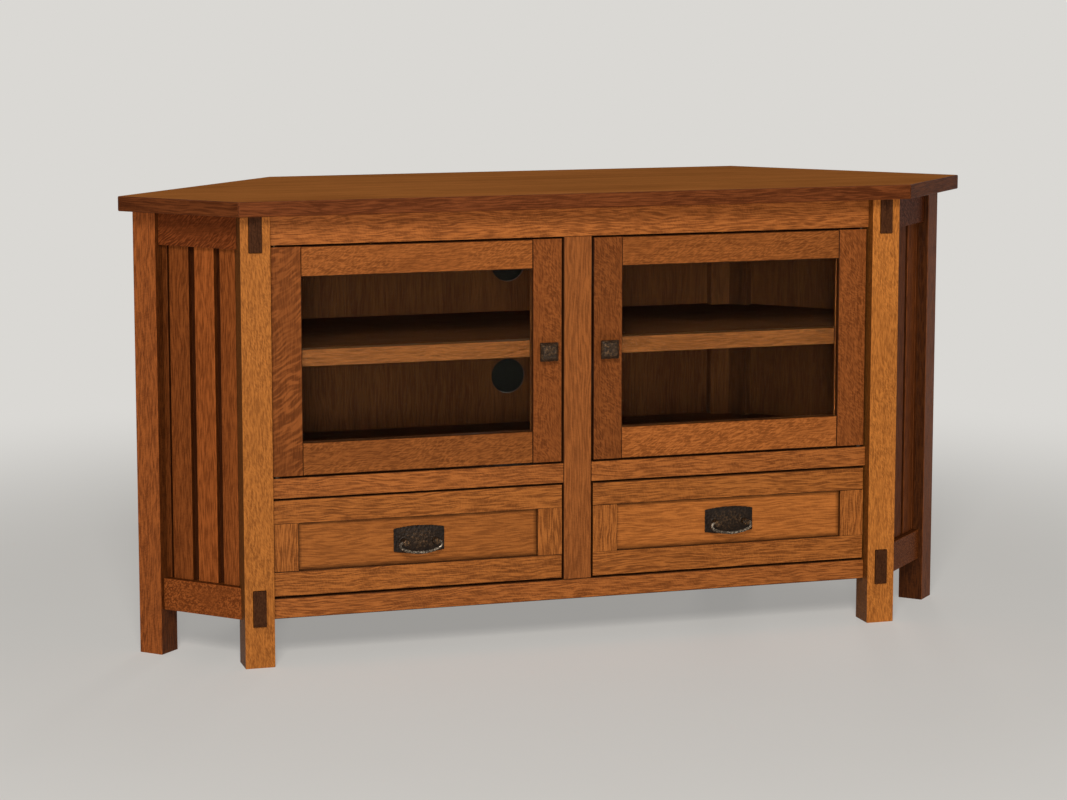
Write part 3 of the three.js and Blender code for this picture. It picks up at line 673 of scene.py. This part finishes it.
def loose_parts(bm):
    """Each separate shell of a mesh as a mesh of its own."""
    waiting = set(bm.faces)
    shells = []
    while waiting:
        shell = set()
        edge_of_shell = [next(face for face in bm.faces if face in waiting)]
        while edge_of_shell:
            face = edge_of_shell.pop()
            if face in shell:
                continue
            shell.add(face)
            edge_of_shell.extend(other for edge in face.edges for other in edge.link_faces)
        waiting -= shell
        indices = {face.index for face in shell}
        part = bm.copy()
        part.faces.ensure_lookup_table()
        others = [face for face in part.faces if face.index not in indices]
        bmesh.ops.delete(part, geom=others, context="FACES")
        shells.append(part)
    return shells


def ease(bm, width, segments=2):
    """Rounds the sharp edges of a board, and gives back the faces of the arrises."""
    sharp = [edge for edge in bm.edges if edge.is_manifold and edge.calc_face_angle() > SHARP_ANGLE]
    made = bmesh.ops.bevel(
        bm, geom=sharp, offset=width, affect="EDGES", segments=segments, profile=0.5, material=-1,
        clamp_overlap=True)
    return made["faces"]


def set_out(bm, name):
    """Turns a shape into an object of the scene."""
    mesh = bpy.data.meshes.new(name)
    bm.to_mesh(mesh)
    bm.free()
    thing = bpy.data.objects.new(name, mesh)
    bpy.context.scene.collection.objects.link(thing)
    return thing


def block(low, high):
    """A box between two corners."""
    bm = bmesh.new()
    bmesh.ops.create_cube(bm, size=1.0)
    extent = [end - start for start, end in zip(low, high)]
    centre = [(start + end) / 2.0 for start, end in zip(low, high)]
    bmesh.ops.scale(bm, vec=extent, verts=bm.verts)
    bmesh.ops.translate(bm, vec=centre, verts=bm.verts)
    return bm


def screw(radius, place, outwards):
    """A screw head with a cross recess, on a surface that looks outwards."""
    bm = bmesh.new()
    height = HEAD_HEIGHT * radius
    bmesh.ops.create_cone(
        bm, cap_ends=True, segments=20, radius1=radius, radius2=HEAD_TOP * radius, depth=height)
    for axis in (RIGHT, BACK):
        for share in (-CROSS_REACH, -CROSS_HALF, CROSS_HALF, CROSS_REACH):
            bmesh.ops.bisect_plane(bm, geom=bm.verts[:] + bm.edges[:] + bm.faces[:],
                                   plane_co=axis * share * radius, plane_no=axis)
    cross = []
    for face in bm.faces:
        middle = face.calc_center_median() / radius
        short, long = sorted((abs(middle.x), abs(middle.y)))
        if face.normal.z > 0.9 and long < CROSS_REACH and short < CROSS_HALF:
            cross.append(face)
    bmesh.ops.inset_region(
        bm, faces=cross, thickness=0.03 * radius, depth=-0.6 * height, use_even_offset=True)
    bmesh.ops.translate(bm, vec=(0.0, 0.0, height / 2.0), verts=bm.verts)
    bmesh.ops.rotate(bm, matrix=UP.rotation_difference(outwards).to_matrix(), verts=bm.verts)
    bmesh.ops.translate(bm, vec=place, verts=bm.verts)
    return bm


def joined(parts):
    """Several separate shapes in one mesh."""
    mesh = bpy.data.meshes.new("joined")
    whole = bmesh.new()
    for part in parts:
        part.to_mesh(mesh)
        part.free()
        whole.from_mesh(mesh)
    bpy.data.meshes.remove(mesh)
    return whole


def hammered(bm):
    """An even mesh over a metal blank, smoothed, with overlapping dents beaten into it."""
    rough = set_out(bm, "blank")
    remesh = rough.modifiers.new("Remesh", "REMESH")
    remesh.mode = "VOXEL"
    remesh.voxel_size = sizes().metal_grid
    even = rough.evaluated_get(bpy.context.evaluated_depsgraph_get())
    metal = bmesh.new()
    metal.from_mesh(even.to_mesh())
    even.to_mesh_clear()
    bpy.data.objects.remove(rough)
    for _ in range(3):
        bmesh.ops.smooth_vert(metal, verts=metal.verts, factor=0.5, use_axis_x=True, use_axis_y=True,
                              use_axis_z=True)
    metal.normal_update()
    for vert in metal.verts:
        distances, _ = noise.voronoi(vert.co / sizes().dent_size)
        vert.co += vert.normal * sizes().dent * (min(1.0, distances[0] * DENT_SPREAD) ** 2 - DENT_SINK)
    return metal


def side_axes(hand):
    """Along a slanted side to the back, and inwards from it."""
    along = Vector((hand * math.cos(SIDE_TURN), math.sin(SIDE_TURN), 0.0))
    inwards = Vector((-hand * math.sin(SIDE_TURN), math.cos(SIDE_TURN), 0.0))
    return along, inwards


def grain_axes(cut, hand=1):
    """Along the grain, across it and through the board."""
    along, inwards = side_axes(hand)
    return {
        "across": (RIGHT, UP, BACK),
        "upright": (UP, RIGHT, BACK),
        "deep": (BACK, UP, RIGHT),
        "flat": (RIGHT, BACK, UP),
        "side_rail": (along, UP, inwards),
        "side_upright": (UP, along, inwards),
    }[cut]


def board_marks(bm, name, axes, arris_faces, spread, edge_shade=1.0, facing=EDGE_FACING, shade_at=None):
    """Writes where each corner lies in its board, the worn arrises, and the tone, with painted shade on its
    edges.
    """
    chance = random.Random(name)
    start = Vector([chance.uniform(0.0, 9.0) for _ in range(3)])
    tone = BOARD_TONES_AND_SHADE.get(name, 1.0) * (1.0 + chance.uniform(-spread, spread))
    place = bm.loops.layers.float_vector.new("board")
    arris = bm.loops.layers.float.new("arris")
    tone_and_shade = bm.loops.layers.float.new("tone")
    worn = set(arris_faces)
    for face in bm.faces:
        endways, sideways, through = (abs(face.normal.dot(axis)) for axis in axes)
        limit = facing if sideways > endways else EDGE_FACING
        # Painted shade: an edge, and on front boards a long arris, takes the darker edge share
        shade = tone * edge_shade if through < limit else tone
        for loop in face.loops:
            spot = loop.vert.co
            loop[place] = start + Vector([axis.dot(spot) for axis in axes])
            loop[arris] = 1.0 if face in worn else 0.0
            loop[tone_and_shade] = shade * shade_at(spot) if shade_at else shade


def drop_specks(bm):
    """Dissolves faces without area, and corners on a straight edge, which would give such faces."""
    bmesh.ops.dissolve_degenerate(bm, dist=SPECK, edges=bm.edges)
    straight = [vert for vert in bm.verts
                if len(vert.link_edges) == 2 and vert.calc_edge_angle() < FLAT_ANGLE]
    bmesh.ops.dissolve_verts(bm, verts=straight)


def finish_piece(bm, name, nodes, body, material, smooth=False):
    """Makes the object of a piece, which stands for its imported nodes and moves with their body."""
    drop_specks(bm)
    for face in bm.faces:
        face.smooth = smooth
    piece = set_out(bm, name)
    piece.data.materials.append(material)
    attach(piece, body)
    if nodes:
        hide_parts(*nodes)
    return piece


def body_of(node):
    return frame["nodes"][node]["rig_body"]


def make_board(name, cut, stain, width, bm=None, node=None, spread=SPREAD, edge_shade=EDGE_SHADE,
               facing=EDGE_FACING, shade_at=None):
    """Eases a board and marks its grain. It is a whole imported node, or a shape that was sawn from one."""
    if bm is None:
        bm = packed(name)
    node = node or name
    arris_faces = ease(bm, width)
    bm.normal_update()
    axes = grain_axes(cut, dict(SIDES).get(name.split("_")[0], 1))
    board_marks(bm, name, axes, arris_faces, spread, edge_shade, facing, shade_at)
    material, slot = stained(stain)
    finish_piece(bm, name, [node], body_of(node), material)


def make_front(name, cut, stain, width, **more):
    """Makes a board of the front, with painted shade on its edges and long arrises, for the gaps round doors
    and drawers.
    """
    make_board(name, cut, stain, width, edge_shade=GAP_SHADE, facing=ARRIS_FACING, **more)


def make_bronze(bm, node, kind):
    """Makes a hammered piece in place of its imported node."""
    finish_piece(bm, node, [node], body_of(node), beaten(kind), smooth=True)


def fasten(name, body, diameter, places, outwards):
    """Makes the screws of a board or of a pull, in one piece, at places on a surface that looks outwards."""
    heads = [screw(diameter / 2.0, place, outwards) for place in places]
    finish_piece(joined(heads), name, [], body, plain_steel())


class CabinetStep:
    """What the operators of the cabinet share."""

    bl_options = {"REGISTER", "UNDO"}


class CABINET_OT_stage(bpy.types.Operator):
    """Set the floor, the lamps, the light from all round and the camera"""

    bl_idname = "cabinet.stage"
    bl_label = "Stage"

    floor_radius: length("Floor radius", "Radius of the round floor", 60.0)

    def execute(self, context):
        stage = context.scene.cabinet_stage
        self.lay_floor(stage)
        self.set_world(context, stage)
        for name, place, width, setting in LAMPS:
            self.hang_lamp(name, place, width, getattr(stage, setting))
        self.stand_shadow_card()
        self.set_camera(context, stage)
        return {"FINISHED"}

    def stand_shadow_card(self):
        """A dark card behind the back, seen only through the glass, that paints shade into the cable holes.
        """
        low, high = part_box("back_panel")
        bm = bmesh.new()
        upright = Matrix.Rotation(math.radians(90.0), 4, "X")
        bmesh.ops.create_grid(bm, x_segments=1, y_segments=1, size=0.5, matrix=upright)
        bmesh.ops.scale(bm, vec=(high.x - low.x, 1.0, high.z - low.z), verts=bm.verts)
        bmesh.ops.translate(bm, vec=(0.0, high.y + SHADOW_CARD_GAP, (low.z + high.z) / 2.0), verts=bm.verts)
        card = set_out(bm, "dark_card")
        material, tree, shader = blank("Dark card")
        feed(tree, shader, {"Base Color": SHADOW_CARD_COLOUR, "Specular IOR Level": 0.0})
        through_glass = add(tree, "ShaderNodeLightPath").outputs["Is Transmission Ray"]
        show_mix(tree, through_glass, add(tree, "ShaderNodeBsdfTransparent"), shader)
        card.data.materials.append(material)

    def lay_floor(self, stage):
        bm = bmesh.new()
        bmesh.ops.create_circle(bm, cap_ends=True, radius=self.floor_radius, segments=96)
        floor = set_out(bm, "floor")
        floor.data.materials.append(self.floor_paint(stage))

    def floor_paint(self, stage):
        """A matt floor that takes the shadow near the cabinet and fades into the backdrop further off."""
        material, tree, shader = blank("Pale floor")
        place = object_place(tree)
        shade = [0.97 * level for level in stage.floor]
        mottle = cloud(tree, place, (6.0, 6.0, 6.0), 3.0)
        feed(tree, shader, {
            "Base Color": tint(tree, mottle, (*shade, 1.0), (*stage.floor, 1.0)), "Roughness": 0.9,
            "Specular IOR Level": 0.0})
        distance = add(tree, "ShaderNodeVectorMath", {0: place}, operation="LENGTH").outputs["Value"]
        far = fade(tree, distance, *FLOOR_FADE)
        glow = add(tree, "ShaderNodeEmission", {"Color": (*stage.backdrop, 1.0), "Strength": 1.0})
        show_mix(tree, times(tree, far, self.looking(tree)), shader, glow)
        return material

    def looking(self, tree):
        """1 for what the camera sees, straight or in metal and glass, and 0 for the light on things."""
        path = add(tree, "ShaderNodeLightPath").outputs
        direct = calc(tree, "MAXIMUM", path["Is Camera Ray"], path["Is Glossy Ray"])
        return calc(tree, "MAXIMUM", direct, path["Is Transmission Ray"])

    def set_world(self, context, stage):
        world = bpy.data.worlds.new("Daylight")
        context.scene.world = world
        world.use_nodes = True
        tree = world.node_tree
        tree.nodes.clear()
        light = add(tree, "ShaderNodeBackground", {"Color": SKY_LIGHT, "Strength": stage.daylight})
        seen = add(tree, "ShaderNodeBackground", {"Color": (*stage.backdrop, 1.0), "Strength": 1.0})
        mix = add(tree, "ShaderNodeMixShader", {
            0: self.looking(tree), 1: light.outputs[0], 2: seen.outputs[0]})
        add(tree, "ShaderNodeOutputWorld", {"Surface": mix.outputs[0]})

    def hang_lamp(self, name, place, width, power):
        lamp = bpy.data.lights.new(name, "AREA")
        lamp.energy = power
        lamp.size = width
        lamp.color = LAMP_LIGHT
        holder = bpy.data.objects.new(name, lamp)
        holder.location = place
        holder.rotation_euler = (LAMP_TARGET - Vector(place)).to_track_quat("-Z", "Y").to_euler()
        bpy.context.scene.collection.objects.link(holder)

    def set_camera(self, context, stage):
        lens = bpy.data.cameras.new("Camera")
        lens.sensor_width = 36.0
        lens.lens = stage.focal_length
        lens.shift_y = stage.lens_drop
        lens.clip_end = 2.0 * self.floor_radius
        camera = bpy.data.objects.new("Camera", lens)
        camera.location = stage.camera_place
        camera.rotation_euler = (math.radians(90.0) - stage.camera_tilt, 0.0, -stage.camera_turn)
        context.scene.collection.objects.link(camera)
        context.scene.camera = camera
        context.scene.view_settings.view_transform = "Standard"


class CABINET_OT_top(CabinetStep, bpy.types.Operator):
    """Finish the six-sided top board, with its edge band"""

    bl_idname = "cabinet.top"
    bl_label = "Top board"

    side_tone: number("Side tone", "Painted shade on the rim's slanted parts", 0.72)

    def execute(self, context):
        bm = packed("top_board")
        arris_faces = ease(bm, sizes().top_arris, 3)
        board_marks(bm, "top_board", grain_axes("flat"), arris_faces, 0.0)
        self.turn_band(bm)
        material, slot = stained("top")
        top = finish_piece(bm, "top_board", ["top_board"], "carcass", material)
        top.data.materials.append(stained("rim of the top")[0])
        return {"FINISHED"}

    def turn_band(self, bm):
        """Runs the grain of each edge of the top along that edge, in the second material, with painted shade
        on the slanted parts.

        Each edge starts at its own place in the grain, so that no two look alike."""
        place = bm.loops.layers.float_vector["board"]
        tone_and_shade = bm.loops.layers.float["tone"]
        for face in bm.faces:
            if abs(face.normal.z) > FLAT_FACING:
                continue
            face.material_index = 1
            along = face.normal.cross(UP).normalized()
            start = Vector((3.0 + 2.0 * along.x, 1.0, 5.0))
            for loop in face.loops:
                spot = loop.vert.co
                loop[place] = start + Vector((along.dot(spot), spot.z, face.normal.dot(spot)))
                # Painted shade on the slanted parts of the rim
                loop[tone_and_shade] = self.side_tone if abs(face.normal.x) > EDGE_FACING else 1.0


class CABINET_OT_posts(CabinetStep, bpy.types.Operator):
    """Finish the front posts, the rear posts and the back legs"""

    bl_idname = "cabinet.posts"
    bl_label = "Posts and legs"

    def execute(self, context):
        width = sizes().arris
        for side, _ in SIDES:
            # Painted shade on the sides of the posts
            make_board(f"{side}_front_post", "upright", "front posts", width, edge_shade=FRONT_POST_SHADE)
            make_board(f"{side}_rear_post", "side_upright", "rear posts", width, edge_shade=REAR_POST_SHADE)
            make_board(f"{side}_back_leg", "side_upright", "inside", width)
        return {"FINISHED"}


class CABINET_OT_face_frame(CabinetStep, bpy.types.Operator):
    """Finish the rails and the centre stile of the front"""

    bl_idname = "cabinet.face_frame"
    bl_label = "Face frame"

    def execute(self, context):
        for node in ("top_rail", "bottom_rail", "left_middle_rail", "right_middle_rail"):
            make_front(node, "across", "face frame", sizes().arris)
        make_front("centre_stile", "upright", "centre stile", sizes().arris)
        return {"FINISHED"}


class CABINET_OT_plugs(CabinetStep, bpy.types.Operator):
    """Finish the dark tenon plugs in the front posts"""

    bl_idname = "cabinet.plugs"
    bl_label = "Tenon plugs"

    def execute(self, context):
        for side, _ in SIDES:
            for place in ("upper", "lower"):
                make_board(f"{side}_{place}_plug", "upright", "plugs", sizes().arris)
        return {"FINISHED"}


class CABINET_OT_sides(CabinetStep, bpy.types.Operator):
    """Finish the rails of the slanted sides, and part the slats from the board behind them"""

    bl_idname = "cabinet.sides"
    bl_label = "Slatted sides"

    def execute(self, context):
        for side, hand in SIDES:
            for place, stain in (("top", "upper side rails"), ("bottom", "lower side rails")):
                make_board(f"{side}_side_{place}_rail", "side_rail", stain, sizes().arris)
            self.part_slats(side, hand)
        return {"FINISHED"}

    def part_slats(self, side, hand):
        node = f"{side}_slat_panel"
        along, inwards = side_axes(hand)
        panel = packed(node)
        depths = [inwards.dot(vert.co) for vert in panel.verts]
        backing = sizes().backing
        face = max(depths) - backing
        # The board behind the slats takes a dark stain: painted shade in the gaps between the slats
        make_board(f"{side}_slat_backing", "side_upright", "behind the slats", sizes().fine_arris,
                   between(panel, inwards, face, max(depths) + backing), node)
        slats = loose_parts(between(panel, inwards, min(depths) - backing, face))
        slats.sort(key=lambda part: min(along.dot(vert.co) for vert in part.verts))
        for count, slat in enumerate(slats, start=1):
            # Painted shade on the slats' edges, in the gaps between them
            make_board(f"{side}_slat_{count}", "side_upright", "sides", sizes().arris, slat, node,
                       spread=SLAT_SPREAD, edge_shade=SLAT_SHADE)
        panel.free()


class CABINET_OT_back(CabinetStep, bpy.types.Operator):
    """Finish the back panels and drive the screws that hold them"""

    bl_idname = "cabinet.back"
    bl_label = "Back"

    margin: length("Margin", "From the edge of a panel to its screws", 0.014)
    wide_panel: length("Wide panel", "Width from which a panel is screwed to the deck too", 0.6)
    rows: IntProperty(name="Rows", description="Screws down each edge of a panel", default=5, min=2)

    def execute(self, context):
        make_board("back_panel", "upright", "inside", sizes().fine_arris)
        for side, hand in SIDES:
            corner = f"{side}_corner_back_panel"
            make_board(corner, "side_upright", "inside", sizes().fine_arris)
            self.drive_screws(corner, side_axes(hand)[0])
        self.drive_screws("back_panel", BACK)
        return {"FINISHED"}

    def drive_screws(self, node, outwards):
        """Screws down both edges of a back panel, and along the deck and the bottom panel."""
        along = UP.cross(outwards)
        solid = packed(node)
        spots = [vert.co.copy() for vert in solid.verts]
        solid.free()
        face = max(outwards.dot(spot) for spot in spots)
        ends = min(along.dot(spot) for spot in spots), max(along.dot(spot) for spot in spots)
        low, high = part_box(node)
        columns = [ends[0] + self.margin, ends[1] - self.margin]
        rise = (high.z - low.z - 2.0 * self.margin) / (self.rows - 1)
        places = [(column, low.z + self.margin + row * rise)
                  for column in columns for row in range(self.rows)]
        if ends[1] - ends[0] > self.wide_panel:
            for board in ("deck", "bottom_panel"):
                start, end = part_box(board)
                places += [(share * ends[1], (start.z + end.z) / 2.0) for share in SCREW_SHARES]
        spots = [outwards * face + along * run + UP * rise for run, rise in places]
        fasten(f"{node}_screws", "carcass", sizes().screw_head, spots, outwards)


class CABINET_OT_shelf(CabinetStep, bpy.types.Operator):
    """Finish the shelf and its solid front edge"""

    bl_idname = "cabinet.shelf"
    bl_label = "Shelf"

    def execute(self, context):
        make_board("shelf", "flat", "floors and shelf", sizes().fine_arris)
        make_board("shelf_edge", "across", "shelf edge", sizes().arris)
        return {"FINISHED"}


class CABINET_OT_floors(CabinetStep, bpy.types.Operator):
    """Finish the deck, the bottom panel, the partition and the drawer runners"""

    bl_idname = "cabinet.floors"
    bl_label = "Floors and runners"

    def execute(self, context):
        for node in ("deck", "bottom_panel"):
            make_board(node, "flat", "floors and shelf", sizes().fine_arris)
        for node in ("centre_partition", "left_drawer_runner", "right_drawer_runner"):
            make_board(node, "deep", "inside", sizes().fine_arris)
        return {"FINISHED"}


class CABINET_OT_doors(CabinetStep, bpy.types.Operator):
    """Finish the frames of the doors and their hinge pins"""

    bl_idname = "cabinet.doors"
    bl_label = "Doors"

    def execute(self, context):
        width = sizes().gap_arris
        for (side, _), hinge_stain in zip(SIDES, ("flecked stile", "door stiles")):
            self.part_pins(side, hinge_stain)
            make_front(f"{side}_door_lock_stile", "upright", "door stiles", width)
            for place in ("top", "bottom"):
                make_front(f"{side}_door_{place}_rail", "across", "door rails", width)
        return {"FINISHED"}

    def part_pins(self, side, stain):
        """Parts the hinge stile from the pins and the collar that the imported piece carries."""
        node = f"{side}_door_hinge_stile"
        solid = packed(node)
        low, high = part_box(f"{side}_door_lock_stile")
        make_front(node, "upright", stain, sizes().gap_arris, bm=between(solid, UP, low.z, high.z))
        reach = high.z - low.z
        for place, start, end in (("lower", low.z - reach, low.z), ("upper", high.z, high.z + reach)):
            pin = between(solid, UP, start, end)
            finish_piece(pin, f"{side}_{place}_hinge_pin", [node], body_of(node),
                         beaten("hammered"))
        solid.free()


class CABINET_OT_glass(CabinetStep, bpy.types.Operator):
    """Glaze the doors and hold each pane with four beads"""

    bl_idname = "cabinet.glass"
    bl_label = "Panes and beads"

    play: length("Play", "Gap left round each bead", 0.0002)

    def execute(self, context):
        for side, _ in SIDES:
            node = f"{side}_door_glass"
            pane = packed(node)
            ease(pane, sizes().fine_arris)
            finish_piece(pane, node, [node], body_of(node), clear_glass("Pane", colours().glass))
            self.add_beads(side, node)
        return {"FINISHED"}

    def add_beads(self, side, node):
        low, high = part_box(node)
        front = high.y + self.play
        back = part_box(f"{side}_door_top_rail")[1].y - self.play
        width = sizes().bead
        material, slot = stained("beads")
        for name, start, end, cut in (
            ("lower", (low.x, low.z), (high.x, low.z + width), "across"),
            ("upper", (low.x, high.z - width), (high.x, high.z), "across"),
            ("inner", (low.x, low.z + width), (low.x + width, high.z - width), "upright"),
            ("outer", (high.x - width, low.z + width), (high.x, high.z - width), "upright"),
        ):
            bead = block((start[0], front, start[1]), (end[0], back, end[1]))
            piece_name = f"{side}_door_{name}_bead"
            arris_faces = ease(bead, sizes().fine_arris)
            bead.normal_update()
            # Painted shade on the beads' edges and arrises
            board_marks(bead, piece_name, grain_axes(cut), arris_faces, SPREAD, BEAD_SHADE, ARRIS_FACING)
            finish_piece(bead, piece_name, [], body_of(node), material)


class CABINET_OT_catch(CabinetStep, bpy.types.Operator):
    """Fit the double magnet catch behind the centre stile, with a strike on each door"""

    bl_idname = "cabinet.catch"
    bl_label = "Catch"

    half_width: length("Half width", "From the middle of the catch to its end", 0.047)
    height: length("Height", "Height of the catch", 0.016)
    gap: length("Gap", "Air between the catch and what is near it", 0.0006)
    strike_reach: length("Strike reach", "Length of the strike on a door", 0.014)
    strike_thickness: length("Strike thickness", "Thickness of a strike", 0.0012)

    def execute(self, context):
        shelf_low, shelf_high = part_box("shelf_edge")
        stile_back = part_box("centre_stile")[1].y
        level = (shelf_low.z + shelf_high.z) / 2.0
        half = self.height / 2.0
        holder = block((-self.half_width, stile_back + self.gap, level - half),
                       (self.half_width, shelf_low.y - self.gap / 2.0, level + half))
        ease(holder, sizes().fine_arris)
        finish_piece(holder, "magnet_catch", [], "carcass", catch_plastic("Brown plastic"))
        for side, hand in SIDES:
            door_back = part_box(f"{side}_door_lock_stile")[1].y
            outer = hand * (self.half_width - self.gap)
            inner = hand * (self.half_width - self.gap - self.strike_reach)
            strike = block((min(inner, outer), door_back, level - half),
                           (max(inner, outer), door_back + self.strike_thickness, level + half))
            ease(strike, sizes().fine_arris / 3.0)
            finish_piece(strike, f"{side}_catch_strike", [], f"{side}_door", plain_steel())
        return {"FINISHED"}


class CABINET_OT_knobs(CabinetStep, bpy.types.Operator):
    """Hammer the square knobs of the doors, and screw each on from the inside"""

    bl_idname = "cabinet.knobs"
    bl_label = "Knobs"

    def execute(self, context):
        for side, _ in SIDES:
            node = f"{side}_knob"
            knob = packed(node)
            ease(knob, sizes().soft_edge, 3)
            make_bronze(hammered(knob), node, "hammered")
            low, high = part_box(node)
            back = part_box(f"{side}_door_lock_stile")[1].y
            place = Vector(((low.x + high.x) / 2.0, back, (low.z + high.z) / 2.0))
            fasten(f"{side}_knob_screw", body_of(node), sizes().knob_screw, [place], BACK)
        return {"FINISHED"}


class CABINET_OT_drawers(CabinetStep, bpy.types.Operator):
    """Finish the drawer fronts, board by board, and the boxes behind them"""

    bl_idname = "cabinet.drawers"
    bl_label = "Drawers"

    # The painted shadow that the frame casts into the recess of a panel: its width and tone
    shadow_line: length("Shadow line", "Width of the painted shadow round a panel", 0.007)
    shadow_tone: number("Shadow tone", "Tone of the painted shadow round a panel", 0.3)

    def execute(self, context):
        for side, _ in SIDES:
            self.part_front(side)
            self.make_panel(f"{side}_drawer_front_panel")
            for place, cut in (("inner_side", "deep"), ("outer_side", "deep"), ("bottom", "flat"),
                               ("back", "across")):
                make_board(f"{side}_drawer_{place}", cut, "drawer boxes", sizes().fine_arris)
        return {"FINISHED"}

    def make_panel(self, node):
        """A recessed panel, with the painted shadow of its frame where the two meet, darkest at the top and
        left.
        """
        low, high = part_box(node)
        lap = sizes().panel_lap
        panel = packed(node)
        front = min(panel.faces, key=lambda face: face.calc_center_median().y)
        for thickness in (lap, self.shadow_line):
            bmesh.ops.inset_region(panel, faces=[front], thickness=thickness, depth=0.0, use_even_offset=True)

        def painted_frame_shadow(spot):
            above_left = min(spot.x - low.x, high.z - spot.z) - lap
            below_right = min(high.x - spot.x, spot.z - low.z) - lap
            if above_left < self.shadow_line / 2.0:
                return self.shadow_tone
            return 1.5 * self.shadow_tone if below_right < self.shadow_line / 2.0 else 1.0

        make_front(node, "across", "drawer panels", sizes().fine_arris, bm=panel, shade_at=painted_frame_shadow)

    def part_front(self, side):
        """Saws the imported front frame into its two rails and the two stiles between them."""
        node = f"{side}_drawer_front_frame"
        solid = packed(node)
        low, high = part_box(f"{side}_drawer_front_panel")
        lap = sizes().panel_lap
        width = sizes().gap_arris
        far = high.z - low.z
        for place, start, end in (("bottom", low.z - far, low.z + lap), ("top", high.z - lap, high.z + far)):
            rail = between(solid, UP, start, end)
            make_front(f"{side}_drawer_{place}_rail", "across", "drawer rails", width, bm=rail, node=node)
        belt = between(solid, UP, low.z + lap, high.z - lap)
        stiles = sorted(loose_parts(belt), key=lambda part: part.verts[:][0].co.x)
        for count, stile in enumerate(stiles, start=1):
            name = f"{side}_drawer_stile_{count}"
            make_front(name, "upright", "drawer rails", width, bm=stile, node=node)
        belt.free()
        solid.free()


class CABINET_OT_pulls(CabinetStep, bpy.types.Operator):
    """Hammer the plates and the bails of the drawer pulls"""

    bl_idname = "cabinet.pulls"
    bl_label = "Drawer pulls"

    crown: length("Crown", "How far the middle of a plate swells", 0.0013)
    ear_reach: length("Ear reach", "From the middle of a plate to each of its screws", 0.027)
    ear_root: length("Ear root", "Thickness of a plate, past which its ears stand", 0.006)
    ear_polish: number("Ear polish", "How far the ears are rubbed bare", 1.4)

    def execute(self, context):
        for side, _ in SIDES:
            plate = f"{side}_pull_plate"
            metal = packed(plate)
            ease(metal, sizes().soft_edge / 2.0, 2)
            metal = hammered(metal)
            self.swell(metal, plate)
            make_bronze(metal, plate, "plates")
            bail = f"{side}_bail"
            make_bronze(hammered(packed(bail)), bail, "rubbed by hands")
            self.screw_on(side, plate)
        return {"FINISHED"}

    def screw_on(self, side, node):
        """The two screws of the plate, on the inner face of the drawer's panel."""
        low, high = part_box(node)
        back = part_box(f"{side}_drawer_front_panel")[1].y
        centre = (low + high) / 2.0
        places = [Vector((centre.x + hand * self.ear_reach, back, centre.z)) for _, hand in SIDES]
        fasten(f"{side}_pull_screws", body_of(node), sizes().knob_screw, places, BACK)

    def swell(self, plate, node):
        """Raises the middle of the plate into a low cushion, and notes the polish of it and of the ears."""
        low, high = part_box(node)
        centre = (low + high) / 2.0
        reach = (high - low) / 2.0
        polish = plate.verts.layers.float.new("polish")
        for vert in plate.verts:
            across = (vert.co.x - centre.x) / (CUSHION_WIDTH * reach.x)
            up = (vert.co.z - centre.z) / (CUSHION_HEIGHT * reach.z)
            inside = abs(across) < 1.0 and abs(up) < 1.0
            cushion = (1.0 - across ** 2) * (1.0 - up ** 2) if inside else 0.0
            on_ear = vert.co.y < high.y - self.ear_root
            vert[polish] = self.ear_polish if on_ear else CUSHION_POLISH * cushion
            if vert.normal.y < -EDGE_FACING:
                vert.co.y -= self.crown * cushion


STEPS = (
    CABINET_OT_stage,
    CABINET_OT_top,
    CABINET_OT_posts,
    CABINET_OT_face_frame,
    CABINET_OT_plugs,
    CABINET_OT_sides,
    CABINET_OT_back,
    CABINET_OT_shelf,
    CABINET_OT_floors,
    CABINET_OT_doors,
    CABINET_OT_glass,
    CABINET_OT_catch,
    CABINET_OT_knobs,
    CABINET_OT_drawers,
    CABINET_OT_pulls,
)


class CABINET_PT_steps(bpy.types.Panel):
    """The steps that finish the cabinet, in order"""

    bl_label = "Corner cabinet"
    bl_space_type = "VIEW_3D"
    bl_region_type = "UI"
    bl_category = "Cabinet"

    def draw(self, context):
        for group in (sizes(), colours(), context.scene.cabinet_stage):
            box = self.layout.box()
            for name in group.__annotations__:
                box.prop(group, name)
        for step in STEPS:
            self.layout.operator(step.bl_idname)


CLASSES = (CabinetSizes, CabinetColours, CabinetStage, *STEPS, CABINET_PT_steps)


def register():
    for item in CLASSES:
        bpy.utils.register_class(item)
    bpy.types.Scene.cabinet_sizes = PointerProperty(type=CabinetSizes)
    bpy.types.Scene.cabinet_colours = PointerProperty(type=CabinetColours)
    bpy.types.Scene.cabinet_stage = PointerProperty(type=CabinetStage)


def unregister():
    for name in ("cabinet_sizes", "cabinet_colours", "cabinet_stage"):
        delattr(bpy.types.Scene, name)
    for item in reversed(CLASSES):
        bpy.utils.unregister_class(item)


def main():
    register()
    for step in STEPS:
        group, name = step.bl_idname.split(".")
        getattr(getattr(bpy.ops, group), name)()


if __name__ == "__main__":
    main()
